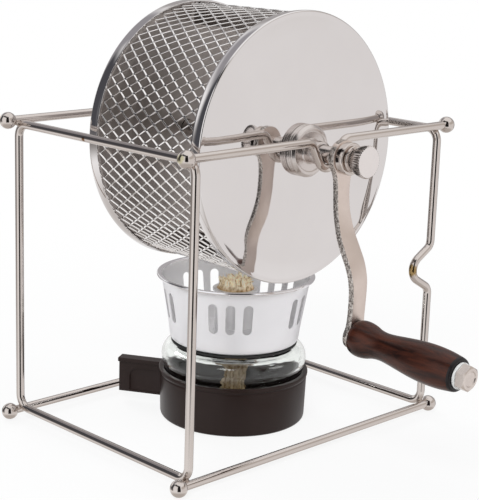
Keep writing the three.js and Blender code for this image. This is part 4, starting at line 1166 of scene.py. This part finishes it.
# %% Base handle
handle_angle = math.radians(120.7)
handle_start, handle_reach, handle_foot, handle_top = 44.6, 75.0, 6.5, 28.9
handle_thickness, panel_depth = 6.6, 0.8
rib_foot, rib_overhang, rib_tip = handle_top - 2.6, 0.9, 0.6
handle = begin(bpy.ops.mesh.primitive_cube_add, size=mm)
length = handle_reach - handle_start
bpy.ops.transform.resize(value=(length, handle_thickness, handle_top - handle_foot))
bpy.ops.transform.translate(value=((handle_start + length / 2) * mm, 0, (handle_foot + handle_top) / 2 * mm))
bpy.ops.mesh.bisect(plane_co=(0, 0, rib_foot * mm), plane_no=(0, 0, 1))
panel_root, panel_tip = handle_start + 0.7, handle_reach - 7.4
panel_foot, panel_top, corner = handle_foot + 1.4, handle_top - 6.4, 5.5
for cut_place, cut_way in (((panel_root, 0, 0), (1, 0, 0)), ((panel_tip, 0, 0), (1, 0, 0)),
                           ((panel_tip - corner, 0, 0), (1, 0, 0)), ((0, 0, panel_foot), (0, 0, 1)),
                           ((0, 0, panel_top), (0, 0, 1)), ((0, 0, panel_top - corner), (0, 0, 1))):
    bpy.ops.mesh.select_all(action="SELECT")
    bpy.ops.mesh.bisect(plane_co=Vector(cut_place) * mm, plane_no=cut_way)
for turn in (22.5, 45, 67.5):
    aim = Vector((math.cos(math.radians(turn)), 0, math.sin(math.radians(turn))))
    pivot = Vector((panel_tip - corner, 0, panel_top - corner)) + aim * corner
    pick("FACE", lambda p, n: panel_tip - corner < p.x < panel_tip and panel_top - corner < p.z < panel_top)
    bpy.ops.mesh.bisect(plane_co=pivot * mm, plane_no=aim)


def in_panel(p):
    along, up = p.x - (panel_tip - corner), p.z - (panel_top - corner)
    if not (panel_root < p.x < panel_tip and panel_foot < p.z < panel_top):
        return False
    return along < 0 or up < 0 or math.hypot(along, up) < corner * 0.985


for way in (1, -1):
    pick("FACE", lambda p, n: n.y * way > 0.9 and in_panel(p))
    bpy.ops.mesh.extrude_region_move(TRANSFORM_OT_translate={"value": (0, -way * panel_depth * mm, 0)})
    pick("FACE", lambda p, n: n.y * way > 0.9 and p.z > rib_foot)
    bpy.ops.mesh.extrude_region_move(TRANSFORM_OT_translate={"value": (0, way * rib_overhang * mm, 0)})
pick("FACE", lambda p, n: n.x > 0.9 and p.z > rib_foot)
bpy.ops.mesh.extrude_region_move(TRANSFORM_OT_translate={"value": (rib_tip * mm, 0, 0)})
tidy()
bpy.ops.object.mode_set(mode="OBJECT")
modified(handle, "BEVEL", width=0.35 * mm, segments=2, limit_method="ANGLE", angle_limit=math.radians(40))
handle.data.transform(Matrix.Translation(Vector(burner_place) * mm) @ Matrix.Rotation(handle_angle, 4, "Z"))
joined(base, handle)
finish_piece(base, "moulded_base", "burner", brown_plastic, ["burner_base"])

# %% [markdown]
# ## Glass bowl and gasket
# The bowl is thick pressed glass. It sits in the base, swells out above it and domes in to the neck. Both
# its outside and its inside are turned in one closed outline, because light only bends rightly through
# glass that has two walls.

# %% Glass bowl
bowl_outside = faired([(43.4, 30.6), (43.7, 32.0), (44.7, 34.6), (45.2, 37.6), (45.3, 39.4), (44.9, 42.0),
                       (43.7, 44.6), (41.9, 46.6), (39.9, 47.6), (38.4, 47.8)], 3)
bowl_inside = faired([(36.4, 44.8), (39.4, 43.8), (41.5, 41.6), (42.2, 38.6), (41.8, 35.2), (40.7, 32.2),
                      (40.3, 28.6)], 3)
bowl_outline = rounded([(0, 3.3), (40.4, 3.3, 2.5), (43.4, 6.3, 2)] + [tuple(p) for p in bowl_outside]
                       + [(13.0, 47.8, 0.4), (13.0, 44.8, 0.6)] + [tuple(p) for p in bowl_inside]
                       + [(40.3, 9.3, 3), (37.3, 6.3, 2), (0, 6.3)], closed=False)
finish_piece(turned_on_burner(bowl_outline, 144), "pressed_glass_bowl", "burner", clear_glass,
             ["glass_bowl"], angle=60)

# %% Gasket
gasket_outline = rounded([(33.5, 48.1, 0.4), (39.5, 48.1, 0.5), (39.5, 49.7, 0.5), (33.5, 49.7, 0.4)])
finish_piece(turned_on_burner(gasket_outline), "rubber_gasket", "burner", black_rubber,
             ["burner_gasket"])

# %% [markdown]
# ## Wind shield
# The shield is spun from thin aluminium: a flat bottom, a flaring wall and a rolled rim. Fifteen slots in
# five groups let the air in. Its inside is paler than its wall, and rolling has polished the rim. A slot
# cutter is a lying cylinder whose upper and lower halves are moved apart. Fifteen of them stand round the
# wall, and one Boolean takes them out.

# %% Wind shield wall
wall_outside = faired([(40.5, 53.6), (41.3, 60), (42.9, 70), (44.6, 80), (45.8, 87.2)], 3)
wall_inside = faired([(45.3, 87.5), (44.1, 80), (42.4, 70), (40.8, 60), (40.0, 53.8)], 3)
shield_outline = rounded([(13.0, 50.0), (39.9, 50.0, 2.6)] + [tuple(p) for p in wall_outside]
                         + [(46.5, 89.3, 1.2), (48.7, 89.7, 0.6), (49.3, 90.7, 0.5), (48.9, 91.8, 0.6),
                            (46.3, 91.3, 0.9)] + [tuple(p) for p in wall_inside]
                         + [(39.4, 50.6, 2.0), (13.0, 50.6)], steps=5)
shield = turned_on_burner(shield_outline, 160)

# %% Wind shield slots
slot_low, slot_high, slot_width = 63.6, 82.8, 5.8
slot_turn, slot_pitch = 222.1, 13.9  # in degrees: the first group's middle, and from slot to slot
wall_foot, rim_foot = 60, 89.2


def slot_cutter(angle):
    """A bar with round ends, through the wall at this angle."""
    bar = begin(bpy.ops.mesh.primitive_cylinder_add, vertices=24, radius=slot_width / 2 * mm, depth=20 * mm,
                rotation=(0, math.pi / 2, 0))
    half_run = (slot_high - slot_low - slot_width) / 2
    pick("VERT", lambda p, n: p.z > 0.05)
    bpy.ops.transform.translate(value=(0, 0, half_run * mm))
    pick("VERT", lambda p, n: p.z < -0.05)
    bpy.ops.transform.translate(value=(0, 0, -half_run * mm))
    bpy.ops.object.mode_set(mode="OBJECT")
    place = Matrix.Translation(Vector(burner_place) * mm) @ Matrix.Rotation(angle, 4, "Z") @ \
        Matrix.Translation((46 * mm, 0, (slot_low + slot_high) / 2 * mm))
    bar.data.transform(place)
    return bar


slot_angles = [slot_turn + 72 * group + slot_pitch * (i - 1) for group in range(5) for i in range(3)]
punch = joined(*[slot_cutter(math.radians(angle)) for angle in slot_angles])
modified(shield, "BOOLEAN", object=punch, operation="DIFFERENCE", solver="EXACT")
bpy.data.objects.remove(punch)
shield.data.materials.clear()
for material in (spun_aluminium, inner_aluminium, polished_aluminium):
    shield.data.materials.append(material)
for polygon in shield.data.polygons:
    place = polygon.center / mm - Vector(burner_place)
    towards_axis = -polygon.normal.dot(Vector((place.x, place.y, 0)).normalized())
    faces_in = towards_axis > 0.3 or (polygon.normal.z > 0.5 and place.z < wall_foot)
    polygon.material_index = 2 if place.z > rim_foot else (1 if faces_in else 0)
finish_piece(shield, "spun_wind_shield", "burner", spun_aluminium, ["wind_shield"],
             angle=40)

# %% [markdown]
# ## Wick holder and wick
# A thin tube with a flange clamps the shield on the bowl and carries the wick. The wick is a bundle of
# thick cotton strands. Above the tube they flare and fray, and inside the bowl they hang loose. One strand
# is a circle that is extruded step by step. It is copied, and each copy is bent by a formula: outward
# above, in waves below. Thin hairs, made from one cone, stand out of the head.

# %% Wick holder
holder_outline = rounded([
    (11.7, 43.0), (12.7, 43.0, 0.2), (12.7, 51.3), (19.7, 51.3, 0.5), (19.7, 52.9, 0.5), (13.4, 52.9, 0.6),
    (12.9, 54.5, 0.6), (12.7, 57.5), (13.1, 58.0, 0.3), (12.7, 58.6), (12.7, 79.4, 0.6), (14.3, 80.8, 0.4),
    (14.3, 82.0, 0.4), (11.7, 82.0)])
finish_piece(turned_on_burner(holder_outline, 72), "wick_holder_tube", "burner",
             inner_aluminium, ["wick_holder"])

# %% Wick strands
random.seed(7)
head_foot = 81.6  # just under the tube's mouth


def plain_strand(radius, length, cuts):
    piece = begin(bpy.ops.mesh.primitive_circle_add, vertices=8, radius=radius * mm, fill_type="TRIFAN")
    for k in range(cuts):
        pick("FACE", lambda p, n: abs(p.z - k * length / cuts) < 0.01 and abs(n.z) > 0.9)
        bpy.ops.mesh.extrude_region_move(TRANSFORM_OT_translate={"value": (0, 0, length / cuts * mm)})
    tidy()
    bpy.ops.object.mode_set(mode="OBJECT")
    return piece


def bent_copies(pattern, bends):
    """One copy of the pattern for each bend, a function from a vertex in mm to its place in mm."""
    copies = []
    for bend in bends:
        copy = bpy.data.objects.new("strand", pattern.data.copy())
        bpy.context.scene.collection.objects.link(copy)
        for vertex in copy.data.vertices:
            vertex.co = (Vector(burner_place) + bend(vertex.co / mm)) * mm
        copies.append(copy)
    bpy.data.objects.remove(pattern)
    return copies


def ways_at(angle):
    """Outward and sideways, at this angle round the wick."""
    return Vector((math.cos(angle), math.sin(angle), 0)), Vector((-math.sin(angle), math.cos(angle), 0))


def head_strand(angle, reach, length, flare, swirl, plump):
    """A strand that rises from the tube's mouth, leans out, swells, and turns down a little at its tip."""
    outward, sideways = ways_at(angle)

    def bend(place):
        t = place.z
        swell = plump * (0.72 + 1.1 * t * (1 - t) + 0.25 * t) * (1 if t < 0.8 else 1 - 2.2 * (t - 0.8))
        rise = length * (t - 0.16 * t * t * t)
        return outward * (reach + flare * t * t + place.x * swell) \
            + sideways * (swirl * t * t + place.y * swell) + Vector((0, 0, head_foot + rise))
    return bend


rings_of_strands = [(1, 0, 9.8), (6, 3.1, 9.9), (10, 5.8, 9.5), (14, 8.2, 8.9)]
bends = []
for count, reach, length in rings_of_strands:
    for k in range(count):
        angle = 2 * math.pi * (k + random.uniform(-0.2, 0.2)) / count
        bends.append(head_strand(angle, reach, length * random.uniform(0.74, 1.08),
                                 reach * random.uniform(0.04, 0.40), random.uniform(-2.4, 2.4),
                                 random.uniform(0.75, 1.1)))
head_strands = bent_copies(plain_strand(1.4, 1, 8), bends)
print("strands in the head:", len(head_strands))

# %% Loose strands in the bowl
loose_count, loose_top, loose_length = 16, 43.5, 33.0


def loose_strand(angle, reach, phase, waviness, lean):
    def bend(place):
        t = place.z
        drop = loose_top - loose_length * t
        spread = reach * (1 - 0.25 * math.sin(math.pi * t)) + waviness * math.sin(phase + 5.5 * t)
        turn = angle + 0.35 * math.sin(phase + 4 * t)
        return Vector((spread * math.cos(turn) + lean * t * (1 - t) + place.x,
                       spread * math.sin(turn) - lean * t * (1 - t) + place.y, drop))
    return bend


bends = [loose_strand(2.4 * k, 8.6 * math.sqrt((k + 0.5) / loose_count), random.uniform(0, 6),
                      random.uniform(0.4, 1.3), random.uniform(0, 4)) for k in range(loose_count)]
loose_strands = bent_copies(plain_strand(1.25, 1, 14), bends)
print("strands in the bowl:", len(loose_strands))

# %% Hairs
hair_count, hair_limit = 160, 90.7
hair = begin(bpy.ops.mesh.primitive_cone_add, vertices=4, radius1=0.16, radius2=0.03, depth=1,
             location=(0, 0, 0.5))
bpy.ops.mesh.subdivide(number_cuts=2)
bpy.ops.object.mode_set(mode="OBJECT")
hair.data.transform(Matrix.Diagonal((mm, mm, mm, 1)))


def hair_bend(angle, reach, foot, length, lean):
    outward, sideways = ways_at(angle)

    def bend(place):
        t = place.z
        wave = 0.8 * t * t * math.sin(9 * angle)
        return outward * (reach + lean * t * t + place.x) + sideways * (place.y + wave) \
            + Vector((0, 0, min(foot + length * t, hair_limit)))
    return bend


bends = []
for k in range(hair_count):
    reach = 10.4 * math.sqrt(random.uniform(0.05, 1))
    bends.append(hair_bend(random.uniform(0, 2 * math.pi), reach, random.uniform(84.5, 87.5),
                           random.uniform(1.6, 2.9), reach * random.uniform(0.0, 0.22)))
hairs = bent_copies(hair, bends)
print("hairs:", len(hairs))

# %% Wick
core_outline = [(0, 40.0), (10.8, 40.0), (11.2, 43.0), (11.2, 82.0), (10.2, 84.5), (6.0, 86.0), (0, 86.6)]
wick = turned_on_burner(core_outline, 48)
joined(wick, *head_strands, *loose_strands, *hairs)
finish_piece(wick, "frayed_wick", "burner", cream_cotton, ["wick"], angle=180)
